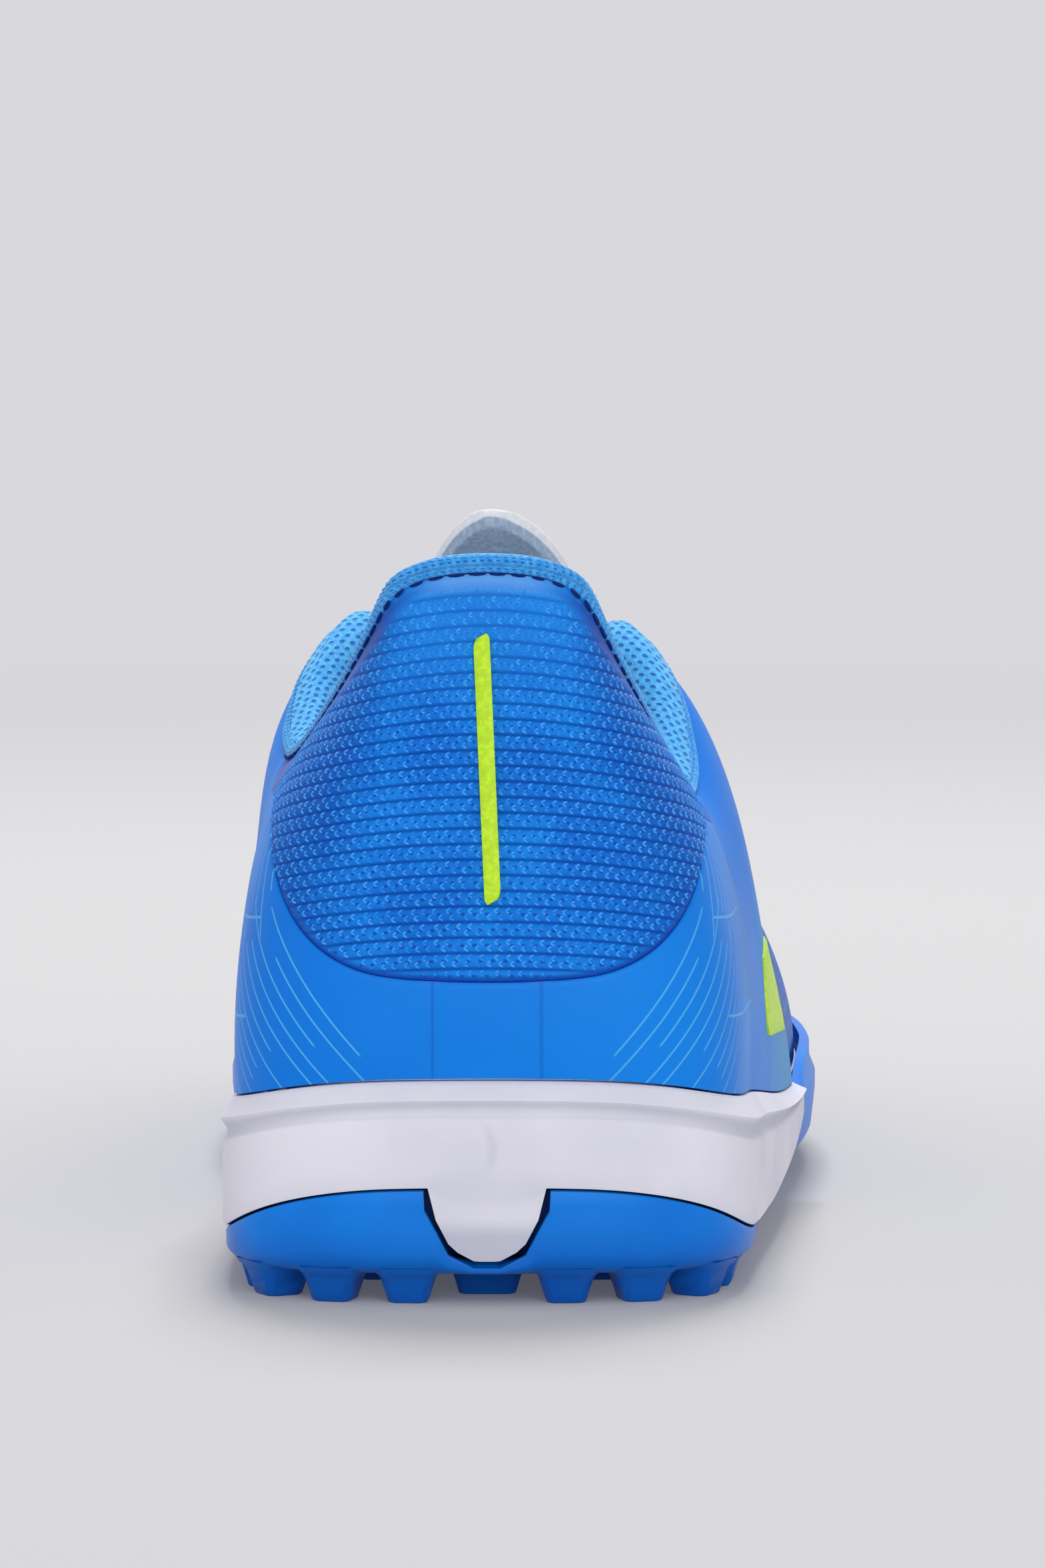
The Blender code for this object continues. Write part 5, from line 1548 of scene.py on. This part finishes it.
def build_collar_lining():
    """Padded mesh lining: up the collar's inner face, over its rim and down to the binding."""
    places = np.linspace(-COLLAR_END, COLLAR_END, 520)
    outer, inner, normal, upward, _ = collar_frame(places)
    away = np.abs(places)
    bulge = 0.0014 + 0.0034 * smooth(away, 4.2, 6.6) - 0.0036 * smooth(away, 7.9, COLLAR_END)
    full = smooth(away, 5.2, 6.4) * (1.0 - smooth(away, 8.0, COLLAR_END))
    puff = (0.0010 + 0.0040 * smooth(away, 4.2, 6.4)) * (1.0 - 0.8 * smooth(away, 7.8, COLLAR_END))
    half = 0.5 * wall_at(places, 1.0)
    centre = 0.5 * (outer + inner)
    loops = []
    shares = np.linspace(LINING_FROM, 1.0, 34)
    for share in shares:
        rise = (share - LINING_FROM) / (1.0 - LINING_FROM)
        spots = np.full_like(places, share)
        skin = upper_points(places, spots) - upper_normals(places, spots) * (
            wall_at(places, spots) + LINING_LIFT + puff * lining_swell(rise))[:, None]
        loops.append(skin)
    for turn in np.linspace(0.0, LINING_END_TURN, 16)[1:]:
        outward = half - LINING_SUNK + 0.0024 * full
        inward = half + LINING_LIFT + 0.45 * puff * math.cos(turn)
        reach = np.where(turn < 0.5 * math.pi, inward, outward)
        loops.append(centre - normal * (reach * math.cos(turn))[:, None]
                     + upward * (bulge * math.sin(turn))[:, None])
    for out, down in ((0.0016, 0.0012), (0.0002, 0.0020)):
        loops.append(centre + normal * (half - LINING_SUNK + out * full)[:, None]
                     - upward * (down * full)[:, None])
    for turn in np.linspace(LINING_END_TURN, 0.0, 8):
        reach = half - 0.0012
        loops.append(centre - normal * (reach * math.cos(turn))[:, None]
                     + upward * ((bulge - 0.0009) * math.sin(turn))[:, None])
    for share in shares[::-1][1:]:
        spots = np.full_like(places, share)
        loops.append(upper_points(places, spots) - upper_normals(places, spots)
                     * (wall_at(places, spots) - 0.0006)[:, None])
    loops = np.stack(loops, axis=1)
    run = walked(outer)
    up = np.concatenate([np.zeros((len(places), 1)),
                         np.cumsum(np.linalg.norm(np.diff(loops, axis=1), axis=-1), axis=1)], axis=1)
    return loops_to_piece("collar_lining", loops, 75.0, run=(run - 0.5 * run[-1])[:, None], up=up)


# The throat: tongue, eyelets and lace
ARCHES = {}
TONGUE_LEVELS = 3
RIBBON_THICKNESS = 0.0010
HOLE_RIBBON = 0.0026
UNDER_DROP = 0.0027
LACING = [0, 1, 3, 4, 2, 0]


def arch_line(row):
    """Points over the instep from the medial side to the lateral, and their distances from its middle."""
    key = round(float(row), 5)
    if key not in ARCHES:
        shares = np.linspace(0.55, 1.0, 24)
        medial = upper_points(-key, shares)
        lateral = upper_points(key, shares)[::-1]
        line = [medial, lateral[1:]]
        if key < VAMP_ROW:
            _, _, medial_in, medial_top = upper_profile(-key)
            _, _, lateral_in, lateral_top = upper_profile(key)
            reach = THROAT_CROWN * np.linalg.norm(lateral_top - medial_top)
            first = medial_top + reach * unit(medial_top - medial_in)
            second = lateral_top + reach * unit(lateral_top - lateral_in)
            f = np.linspace(0.0, 1.0, 17)[1:-1, None]
            r = 1.0 - f
            middle = (r ** 3 * medial_top + 3 * r * r * f * first + 3 * r * f * f * second
                      + f ** 3 * lateral_top)
            line = [medial, middle, lateral]
        points = np.vstack(line)
        run = walked(points)
        half_open = 0.5 * (run[len(medial) - 1] + run[len(run) - len(lateral)])
        ARCHES[key] = points, run - half_open
    return ARCHES[key]


def arch_points(row, across):
    points, distances = arch_line(row)
    return np.stack([np.interp(across, distances, points[:, k]) for k in range(3)], axis=-1)


def arch_normals(row, across):
    step, reach = 0.05, 0.0008
    along = arch_points(row + step, across) - arch_points(row - step, across)
    over = arch_points(row, across + reach) - arch_points(row, across - reach)
    return unit(np.cross(over, along))


def half_throat(row):
    return -float(arch_line(row)[1][23])


def build_tongue_pad():
    """Padded tongue along the throat, with its free end leaning back over the collar."""
    columns = 12
    shares = np.linspace(-1.0, 1.0, columns + 1)
    rows = np.linspace(9.0, 12.5, 15)
    grids = []
    for depth in (WALL + TONGUE_GAP, WALL + TONGUE_GAP + 0.5 * TONGUE_THICKNESS,
                  WALL + TONGUE_GAP + TONGUE_THICKNESS):
        grid = []
        for row in rows:
            across = (half_throat(row) + TONGUE_LAP) * shares
            grid.append(arch_points(row, across) - arch_normals(row, across) * depth)
        way = np.array([0.0, -math.cos(TONGUE_LEAN), math.sin(TONGUE_LEAN)])
        base = grid[0]
        rises = [1.055, 1.0, 0.82, 0.50, 0.22]
        medial = [scale * flap.medial for scale, flap in zip((0.50, 0.88, 1.04, 1.06, 1.06), FLAP)]
        lateral = [scale * flap.lateral for scale, flap in zip((0.55, 0.98, 1.22, 1.30, 1.30), FLAP)]
        for rise, left, right in list(zip(rises, medial, lateral))[::-1]:
            spots = (np.where(shares < 0, shares * left, shares * right) + 1.0) * 0.5 * columns
            row = np.stack([np.interp(spots, np.arange(columns + 1), base[:, k]) for k in range(3)],
                           axis=-1)
            grid.insert(0, row + way * TONGUE_RISE * rise)
        grids.append(np.array(grid))
    shell = Shell()
    top = shell.grid(grids[0], face=0.0)
    middle = shell.grid(grids[1], face=0.35)
    low = shell.grid(grids[2], face=1.0)
    shell.skin(top)
    shell.skin(low, flip=True)
    for edge in GRID_EDGES:
        shell.strip(middle[edge], top[edge])
        shell.strip(low[edge], middle[edge])
    piece = shell.make("tongue_pad", sharp=180.0)
    modifier = piece.modifiers.new("rounding", "SUBSURF")
    modifier.levels = TONGUE_LEVELS
    modifier.render_levels = TONGUE_LEVELS
    bpy.context.view_layer.update()
    made = bpy.data.meshes.new_from_object(piece.evaluated_get(bpy.context.evaluated_depsgraph_get()))
    piece.modifiers.clear()
    piece.data = made
    made.name = "tongue_pad"
    made.shade_smooth()
    return piece


def eyelet_rows():
    """Rows of the eyelet pairs, evenly spaced along the shoe."""
    along = np.linspace(EYELET_FIRST * LENGTH, EYELET_LAST * LENGTH, EYELET_PAIRS)
    return [float(np.interp(y, THROAT_Y, THROAT_ROWS)) for y in along]


def eyelet_spot(row, side):
    """Centre and outward way of an eyelet, and its distance over the arch."""
    across = side * (half_throat(row) + EYELET_SETBACK)
    return arch_points(row, across), arch_normals(row, across), across


def build_eyelet_rings(finish):
    """Rounded rings."""
    spokes = np.linspace(0.0, 2.0 * math.pi, 36, endpoint=False)
    for i, row in enumerate(eyelet_rows()):
        for side, name in ((-1.0, "medial"), (1.0, "lateral")):
            centre, normal, _ = eyelet_spot(row, side)
            first = unit(np.cross(normal, np.array([0.0, 1.0, 0.0])))
            second = np.cross(normal, first)
            loops = []
            middle = 0.5 * (EYELET_RADIUS + EYELET_HOLE)
            for turn in np.linspace(0.0, 2.0 * math.pi, 14, endpoint=False):
                radius = middle + 0.5 * (EYELET_RADIUS - EYELET_HOLE) * math.cos(turn)
                lift = EYELET_LIFT * 0.3 + 0.5 * EYELET_THICKNESS * (1.0 + math.sin(turn))
                loops.append([centre + normal * lift
                              + radius * (first * math.cos(spoke) + second * math.sin(spoke))
                              for spoke in spokes])
            shell = Shell()
            numbers = shell.grid(np.array(loops).transpose(1, 0, 2))
            ring = np.concatenate([numbers, numbers[:, :1]], axis=1)
            shell.skin(ring, closed=True)
            finish_piece(shell.make("eyelet_ring_%s_%d" % (name, i + 1), sharp=60.0), finish, "eyelet_ring",
                         "eyelet_%s_%d" % (name, i + 1))


def lace_path():
    """Stations of the lace: place, width way, width and thickness, from one hidden end to the other."""
    rows = eyelet_rows()
    lift = EYELET_LIFT + EYELET_THICKNESS + LACE_LIFT + 0.5 * LACE_THICKNESS
    stations = []

    def hole(row, side, going_down):
        centre, normal, _ = eyelet_spot(row, side)
        along = unit(arch_points(row + 0.05, 0.0) - arch_points(row - 0.05, 0.0))
        steps = [(lift * 0.80, 0.0040), (0.0002, HOLE_RIBBON), (-WALL * 0.8, HOLE_RIBBON)]
        for height, width in (steps if going_down else steps[::-1]):
            stations.append((centre + normal * height, along, width, RIBBON_THICKNESS))

    def bar(row, start_side):
        reach = half_throat(row) + EYELET_SETBACK - 0.0012
        along = unit(arch_points(row + 0.05, 0.0) - arch_points(row - 0.05, 0.0))
        hole(row, start_side, False)
        for share in np.linspace(start_side, -start_side, 11):
            across = share * reach
            ease = 1.0 - 0.25 * smooth(abs(share), 0.75, 1.0)
            stations.append((arch_points(row, across) + arch_normals(row, across) * lift, along,
                             LACE_WIDTH * ease, RIBBON_THICKNESS))
        hole(row, -start_side, True)

    def under(row_from, row_to, side):
        for share in (0.15, 0.4, 0.6, 0.85):
            row = row_from + share * (row_to - row_from)
            across = side * (half_throat(row) + EYELET_SETBACK)
            point = arch_points(row, across) - arch_normals(row, across) * UNDER_DROP
            over = unit(arch_points(row, across + 0.001) - arch_points(row, across - 0.001))
            stations.append((point, over, 0.0030, 0.0006))

    def end(row, side):
        centre, normal, _ = eyelet_spot(row, side)
        along = unit(arch_points(row + 0.05, 0.0) - arch_points(row - 0.05, 0.0))
        stations.append((centre - normal * UNDER_DROP, along, HOLE_RIBBON, 0.0008))

    end(rows[0], -1.0)
    side = -1.0
    for row_from, row_to in zip(LACING, LACING[1:]):
        under(rows[row_from], rows[row_to], side)
        bar(rows[row_to], side)
        side = -side
    end(rows[0], 1.0)
    return stations


def build_lace():
    """One flat lace through all the eyelets, in straight bars over the tongue."""
    stations = lace_path()
    points = np.array([station[0] for station in stations])
    ways = np.array([station[1] for station in stations])
    sizes = np.array([station[2:] for station in stations])
    for i in range(1, len(ways)):
        if np.dot(ways[i], ways[i - 1]) < 0.0:
            ways[i] = -ways[i]
    run = walked(points)
    keep = np.concatenate([[True], np.diff(run) > 1e-6])
    points, ways, sizes, run = points[keep], ways[keep], sizes[keep], run[keep]
    slopes = np.gradient(points, run, axis=0)
    fine = np.linspace(0.0, run[-1], int(run[-1] / 0.00055))
    spot = np.clip(np.searchsorted(run, fine, side="right") - 1, 0, len(run) - 2)
    gap = (run[spot + 1] - run[spot])
    f = ((fine - run[spot]) / gap)[:, None]
    gap = gap[:, None]
    path = ((2 * f ** 3 - 3 * f ** 2 + 1) * points[spot] + (f ** 3 - 2 * f ** 2 + f) * gap * slopes[spot]
            + (3 * f ** 2 - 2 * f ** 3) * points[spot + 1] + (f ** 3 - f ** 2) * gap * slopes[spot + 1])
    onward = unit(np.gradient(path, axis=0))
    wide = np.stack([np.interp(fine, run, ways[:, k]) for k in range(3)], axis=-1)
    wide = unit(wide - onward * np.sum(wide * onward, axis=-1, keepdims=True))
    thick = np.cross(onward, wide)
    width = np.interp(fine, run, sizes[:, 0])
    depth = np.interp(fine, run, sizes[:, 1])
    loops = []
    turns = np.linspace(0.0, 2.0 * math.pi, 20, endpoint=False)
    for turn in turns:
        side, rise = math.cos(turn), math.sin(turn)
        flat = np.sign(side) * abs(side) ** 0.7
        full = np.sign(rise) * abs(rise) ** 0.6
        loops.append(path + wide * (0.5 * width * flat)[:, None] + thick * (0.5 * depth * full)[:, None])
    return loops_to_piece("lace", np.stack(loops, axis=1), 65.0, run=fine[:, None],
                          across=np.cos(turns)[None, :])


def knit_finish():
    """Blue ribbed knit: painted shade in the grooves and at the sides, dark pinholes, a painted highlight and
    sheen near the top, a smooth band near the rim.
    """
    f = Finish("ribbed knit", roughness=0.62, sheen=0.12, sheen_tint=(0.5, 0.75, 1.0))
    rib, around, show, rim = f.mark("rib"), f.mark("around"), f.mark("show"), f.mark("rim")
    level = rib.fract()
    groove = 1.0 - f.step(abs(level - 0.5), 0.30, 0.50)
    column = (around / STITCH_PITCH + rib.floor() * 0.5).fract()
    hole = (1.0 - f.step(abs(column - 0.5), 0.10, 0.24)) * (1.0 - f.step(abs(level - 0.50), 0.05, 0.15))
    spot = f.spot()
    patch = f.noise(spot, 90.0, 2.0)
    body = f.mix(f.step(patch, 0.35, 0.7), KNIT_BLUE, KNIT_MID)
    # Painted shade: the grooves between the ribs are darkened; the pinholes are dark holes
    body = f.mix(hole * show * 0.75, f.mix((1.0 - groove) * show * 0.62, body, PINHOLE_AND_SHADE_BLUE), PINHOLE_AND_SHADE_BLUE)
    # Painted shade: the knit is darkened towards the sides, where the heel turns away from the light
    side = f.step(abs(around), 0.016, 0.034)
    body = f.mix(side * 0.70, body, KNIT_SHADE)
    body = f.mix((1.0 - show) * f.step(rim, 0.0004, 0.0016), body, VIOLET_BLUE)
    _, _, z = f.from_heel(spot)
    # Painted highlight: the knit is lightened high in the middle of the heel, not at its sides
    body = f.mix(f.step(z, 0.078, 0.098) * (1.0 - side) * 0.45, body, KNIT_TOP_HIGHLIGHT)
    # Painted sheen: a lilac highlight in a band under the tape, in the middle of the heel
    sheen_band = (1.0 - f.step(rim, 0.0008, 0.0034)) * (1.0 - f.step(abs(around), 0.010, 0.022))
    body = f.mix(sheen_band * 0.75, body, LILAC_SHEEN)
    strands = f.noise(f.join(around * 5200.0, rib * 9.0, 0.0), 1.0, 3.0)
    bump = f.bump(strands, 0.00010, 0.45)
    return f.close(body, roughness=f.step(show, 0.0, 1.0) * 0.20 + 0.44, normal=bump)


def stitch_finish():
    f = Finish("knit stitches", roughness=0.6, sheen=0.15, sheen_tint=(0.5, 0.75, 1.0))
    patch = f.noise(f.spot(), 700.0, 2.0)
    return f.close(f.mix(f.step(patch, 0.35, 0.65), STITCH_BLUE, STITCH_LIGHT))


def coat_finish():
    """Coated upper: satin blue quarters with fine pale lines, a cyan side, a darker forefoot with painted
    highlight streaks low down, and painted shade under the heel knit.
    """
    f = Finish("coated upper", roughness=0.42)
    marks = ("around", "rise", "panel", "rim", "inside")
    around, rise, panel, rim, inside = (f.mark(name) for name in marks)
    spot = f.spot()
    x, _, _ = f.from_heel(spot)
    base = f.mix(f.step(f.noise(spot, 26.0, 2.0), 0.3, 0.75), COAT_BLUE, COAT_LIGHT)
    side = abs(around)
    low = 1.0 - f.step(rise, 0.018, 0.045)
    base = f.mix(f.step(side, 0.090, 0.150) * low * 0.85, base, CYAN)

    def hair(value, pitch, half):
        return 1.0 - f.step(abs((value / pitch).fract() - 0.5), 0.5 * half, half)

    def band(value, start, end):
        return f.step(value, start, start + 0.0006) * (1.0 - f.step(value, end, end + 0.0006))

    def fan(lean, pitch, foot, top, near, far, stagger):
        walk = side - rise * lean
        jump = ((walk / pitch).floor() * 2.4).sine() * stagger
        return hair(walk, pitch, 0.085) * band(rise + jump, foot, top) * band(walk, near, far)

    marks = fan(0.80, 0.0027, 0.0006, 0.0230, 0.014, 0.064, 0.0050)
    marks = marks.least(fan(0.34, 0.0026, 0.0250, 0.0400, 0.026, 0.072, 0.0035))
    marks = marks.least(fan(0.12, 0.0026, 0.0425, 0.0560, 0.044, 0.088, 0.0030))
    for height, near, far in ((0.0085, 0.040, 0.075), (0.0225, 0.038, 0.070), (0.0415, 0.046, 0.080)):
        level = rise - side * 0.06
        marks = marks.least(f.line(level, height, 0.00018, 0.00012) * band(side, near, far))
    base = f.mix(marks * 0.66, base, PRINT_BLUE)
    grid = hair(side + rise * 0.2, 0.0024, 0.10).least(hair(rise, 0.0040, 0.07))
    grid = grid * band(side, 0.062, 0.090) * band(rise, 0.0120, 0.0400)
    panel_tint = band(side - rise * 0.5, 0.046, 0.070) * band(rise, 0.0130, 0.0330)
    base = f.mix(grid * 0.55, f.mix(panel_tint * 0.30, base, GRID_GREY), GRID_GREY)
    seam_place = side - rise * 0.62 + rise * rise * 5.0
    wrap = f.step(seam_place, 0.1595, 0.1600)
    # Painted highlights: pale vertical streaks low on the forefoot wrap stand in for the light on its fine
    # ribs
    streaks = f.noise(f.join(around * 90.0, rise * 700.0, 0.0), 1.0, 3.0)
    front = f.mix(f.step(streaks, 0.42, 0.68) * low, WRAP_BLUE, WRAP_STREAK_HIGHLIGHT)
    base = f.mix(wrap, base, front)
    base = f.mix(f.line(seam_place, 0.1598, 0.0004, 0.0003) * 0.6, base, SEAM_BLUE)
    under = f.step(panel, -0.0002, 0.0002)
    near_rim = (1.0 - f.step(rim, 0.003, 0.008)) * band(side, 0.040, 0.090)
    base = f.mix(near_rim * 0.6, base, VIOLET_BLUE)
    # Painted shade: the recessed face under the heel knit is painted dark blue
    base = f.mix(under, base, PINHOLE_AND_SHADE_BLUE)
    base = f.mix(inside, base, LINING_DEEP)
    seam = f.line(abs(x), SEAM_X, 0.00020, 0.00018) * (1.0 - f.step(side, 0.012, 0.014)) * (1.0 - under)
    base = f.mix(seam * 0.45, base, SEAM_BLUE)
    weave = f.cells(f.join(around, rise), 1500.0)
    grain = f.noise(spot, 900.0, 2.0)
    bump = f.bump(weave, 0.00003, 0.25, under=f.bump(grain, 0.00003, 0.3))
    rough = f.noise(spot, 60.0, 3.0) * 0.14 + 0.38
    return f.close(base, roughness=rough, normal=bump)


def binding_finish():
    """Light blue tape of fine knit."""
    f = Finish("collar tape", roughness=0.72, sheen=0.35, sheen_tint=(0.6, 0.85, 1.0))
    run, across = f.mark("run"), f.mark("across")
    slant = (run / 0.00112 + across * 0.35).fract()
    row = (across * 2.2).fract()
    gap = (1.0 - f.step(abs(slant - 0.5), 0.10, 0.34)) * (1.0 - f.step(abs(row - 0.5), 0.08, 0.36))
    fuzz = f.noise(f.spot(), 1600.0, 3.0)
    colour = f.mix(f.step(fuzz, 0.3, 0.72), BINDING_BLUE, BINDING_LIGHT)
    colour = f.mix(gap * 0.90, colour, BINDING_DEEP)
    bump = f.bump(fuzz - gap * 0.8, 0.00022, 0.7)
    return f.close(colour, normal=bump)


def lining_finish():
    """Air mesh: light blue with staggered dark holes."""
    f = Finish("collar mesh", roughness=0.78, sheen=0.30, sheen_tint=(0.6, 0.85, 1.0))
    run, up = f.mark("run"), f.mark("up")
    row = up / 0.00135
    column = (run / 0.00150 + row.floor() * 0.5).fract()
    away_row = abs(row.fract() - 0.5)
    away_column = abs(column - 0.5)
    near = f.maths("POWER", away_row * away_row * 1.3 + away_column * away_column * 1.0, 0.5)
    wobble = f.noise(f.join(run * 700.0, up * 700.0, 0.0), 1.0, 2.0) * 0.16
    hole = 1.0 - f.step(near + wobble, 0.26, 0.42)
    fuzz = f.noise(f.spot(), 1500.0, 3.0)
    colour = f.mix(f.step(fuzz, 0.3, 0.7), LINING_BLUE, LINING_LIGHT)
    colour = f.mix(hole * 0.85, colour, LINING_DEEP)
    bump = f.bump(hole * -1.0 + fuzz * 0.3, 0.0004, 0.8)
    return f.close(colour, normal=bump)


def foam_finish():
    """White foam: fine grain, cool painted shade in the set-back band, on the wedge's lower part and on the
    inner faces seen beside the wedge, a faint scuff at the heel.
    """
    f = Finish("midsole foam", roughness=0.58)
    spot = f.spot()
    x, y, z = f.from_heel(spot)
    clouds = f.noise(spot, 35.0, 3.0)
    colour = f.mix(f.step(clouds, 0.35, 0.75), FOAM_WHITE, FOAM_SHADE)
    bend = f.line(x + (z - 0.022) * (z - 0.022) * 90.0, 0.0008, 0.0006, 0.0006)
    scuff = bend * f.line(z, 0.0225, 0.0030, 0.0020) * (1.0 - f.step(y, -0.12, -0.11))
    colour = f.mix(scuff * 0.16, colour, SCUFF_GREY)
    # Painted shade: the set-back band under the lip is darkened, more towards the sides
    colour = f.mix(f.mark("sunk") * (f.step(abs(x), 0.010, 0.034) * 0.35 + 0.20), colour, BAND_SHADE)
    # Painted shade: the lower part of the wedge, which faces down, is darkened
    wedge = (1.0 - f.step(z, 0.0095, 0.0125)) * (1.0 - f.step(abs(x), 0.0095, 0.0100))
    colour = f.mix(wedge * 0.75, colour, WEDGE_SHADE)
    # Painted shade: the foam's inner faces inside the cup, seen in the gaps beside the wedge, are painted
    # navy
    colour = f.mix(f.step(f.mark("deep"), 0.02, 0.12), colour, NAVY)
    specks = f.step(f.cells(spot, 240.0), 0.02, 0.05)
    colour = f.mix((1.0 - specks) * 0.20, colour, SCUFF_GREY)
    grain = f.noise(spot, 1400.0, 2.0)
    return f.close(colour, roughness=clouds * 0.15 + 0.50, normal=f.bump(grain, 0.00004, 0.30))


def rubber_finish():
    """Blue rubber, with painted shade growing down its wall, deepest on the undersides and between the lugs.
    """
    f = Finish("outsole rubber", roughness=0.40, coat=0.02)
    spot = f.spot()
    _, _, z = f.from_heel(spot)
    patch = f.noise(spot, 45.0, 3.0)
    colour = f.mix(f.step(patch, 0.3, 0.75), RUBBER_BLUE, RUBBER_LIGHT)
    # Painted shade: the rubber darkens from the top of its wall downwards, more below 6 mm where the
    # undersides and lug roots lie
    colour = f.mix((1.0 - f.step(z, 0.0045, 0.0130)) * 0.35, colour, RUBBER_PAINTED_SHADE)
    colour = f.mix((1.0 - f.step(z, 0.0020, 0.0060)) * 0.40, colour, RUBBER_PAINTED_SHADE)
    grain = f.noise(spot, 1100.0, 2.0)
    return f.close(colour, roughness=patch * 0.2 + 0.28, normal=f.bump(grain, 0.00004, 0.25))


def tongue_finish():
    """White tongue outside and round its rim, grey-blue towel cloth inside."""
    f = Finish("tongue cloth", roughness=0.75, sheen=0.25)
    face = f.mark("face")
    spot = f.spot()
    weave = f.noise(spot, 1300.0, 3.0)
    inner = f.mix(f.step(weave, 0.35, 0.7), TONGUE_GREY, TONGUE_PALE)
    outer = f.mix(f.step(weave, 0.35, 0.7), TONGUE_WHITE, LACE_WHITE)
    colour = f.mix(f.step(face, 0.30, 0.44), outer, inner)
    return f.close(colour, normal=f.bump(weave, 0.00012, 0.5))


def lace_finish():
    """White flat lace with a herringbone weave."""
    f = Finish("lace weave", roughness=0.75, sheen=0.25)
    run, across = f.mark("run"), f.mark("across")
    slant = (run / 0.0011 + abs(across) * 1.6).fract()
    gap = 1.0 - f.step(abs(slant - 0.5), 0.25, 0.5)
    colour = f.mix(gap * 0.5, LACE_SHADE, LACE_WHITE)
    return f.close(colour, normal=f.bump(gap, 0.00012, 0.6))


def plain_finish(name, colour, roughness, grain=1200.0, sheen=0.0, coat=0.0):
    """One colour with a fine grain."""
    f = Finish(name, roughness, coat=coat, sheen=sheen)
    noise = f.noise(f.spot(), grain, 2.0)
    darker = tuple(0.82 * part for part in colour)
    return f.close(f.mix(f.step(noise, 0.35, 0.7), darker, colour), normal=f.bump(noise, 0.00005, 0.3))


def build_shoe():
    """Every piece, its finish and the CAD node that it stands for."""
    rubber, foam, coat = rubber_finish(), foam_finish(), coat_finish()
    finish_piece(build_outsole_cup(), rubber, "outsole_rubber", "outsole")
    for piece in build_lugs(rubber):
        finish_piece(piece, rubber, "outsole_rubber", "outsole")
    finish_piece(build_midsole_foam(), foam, "midsole_foam", "midsole")
    finish_piece(build_insole_sock(), plain_finish("insole cloth", NAVY, 0.9), "insole_board", "insole")
    finish_piece(build_upper_shell(), coat, "upper_knit", "upper")
    finish_piece(build_heel_knit(), knit_finish(), "upper_knit", "upper")
    stitches = stitch_finish()
    finish_piece(build_heel_stitches(stitches), stitches, "upper_knit", "upper")
    lime = plain_finish("lime film", LIME, 0.45, coat=0.1)
    finish_piece(build_heel_bar(), lime, "upper_knit", "upper")
    finish_piece(build_quarter_patch(), lime, "upper_knit", "upper")
    finish_piece(build_collar_binding(), binding_finish(), "upper_knit", "upper")
    seam_thread = plain_finish("seam thread", THREAD_BLUE, 0.8)
    finish_piece(build_binding_stitches(seam_thread), seam_thread, "upper_knit", "upper")
    lining = finish_piece(build_collar_lining(), lining_finish(), "upper_knit", "upper")
    tongue = finish_piece(build_tongue_pad(), tongue_finish(), "tongue_cloth", "tongue")
    build_eyelet_rings(plain_finish("eyelet film", EYELET_BLUE, 0.4, coat=0.15))
    bars = ["lace_bar_%d" % (i + 1) for i in range(EYELET_PAIRS)]
    finish_piece(build_lace(), lace_finish(), "lace_cord", *bars)


build_shoe()
add_camera()
add_stage()
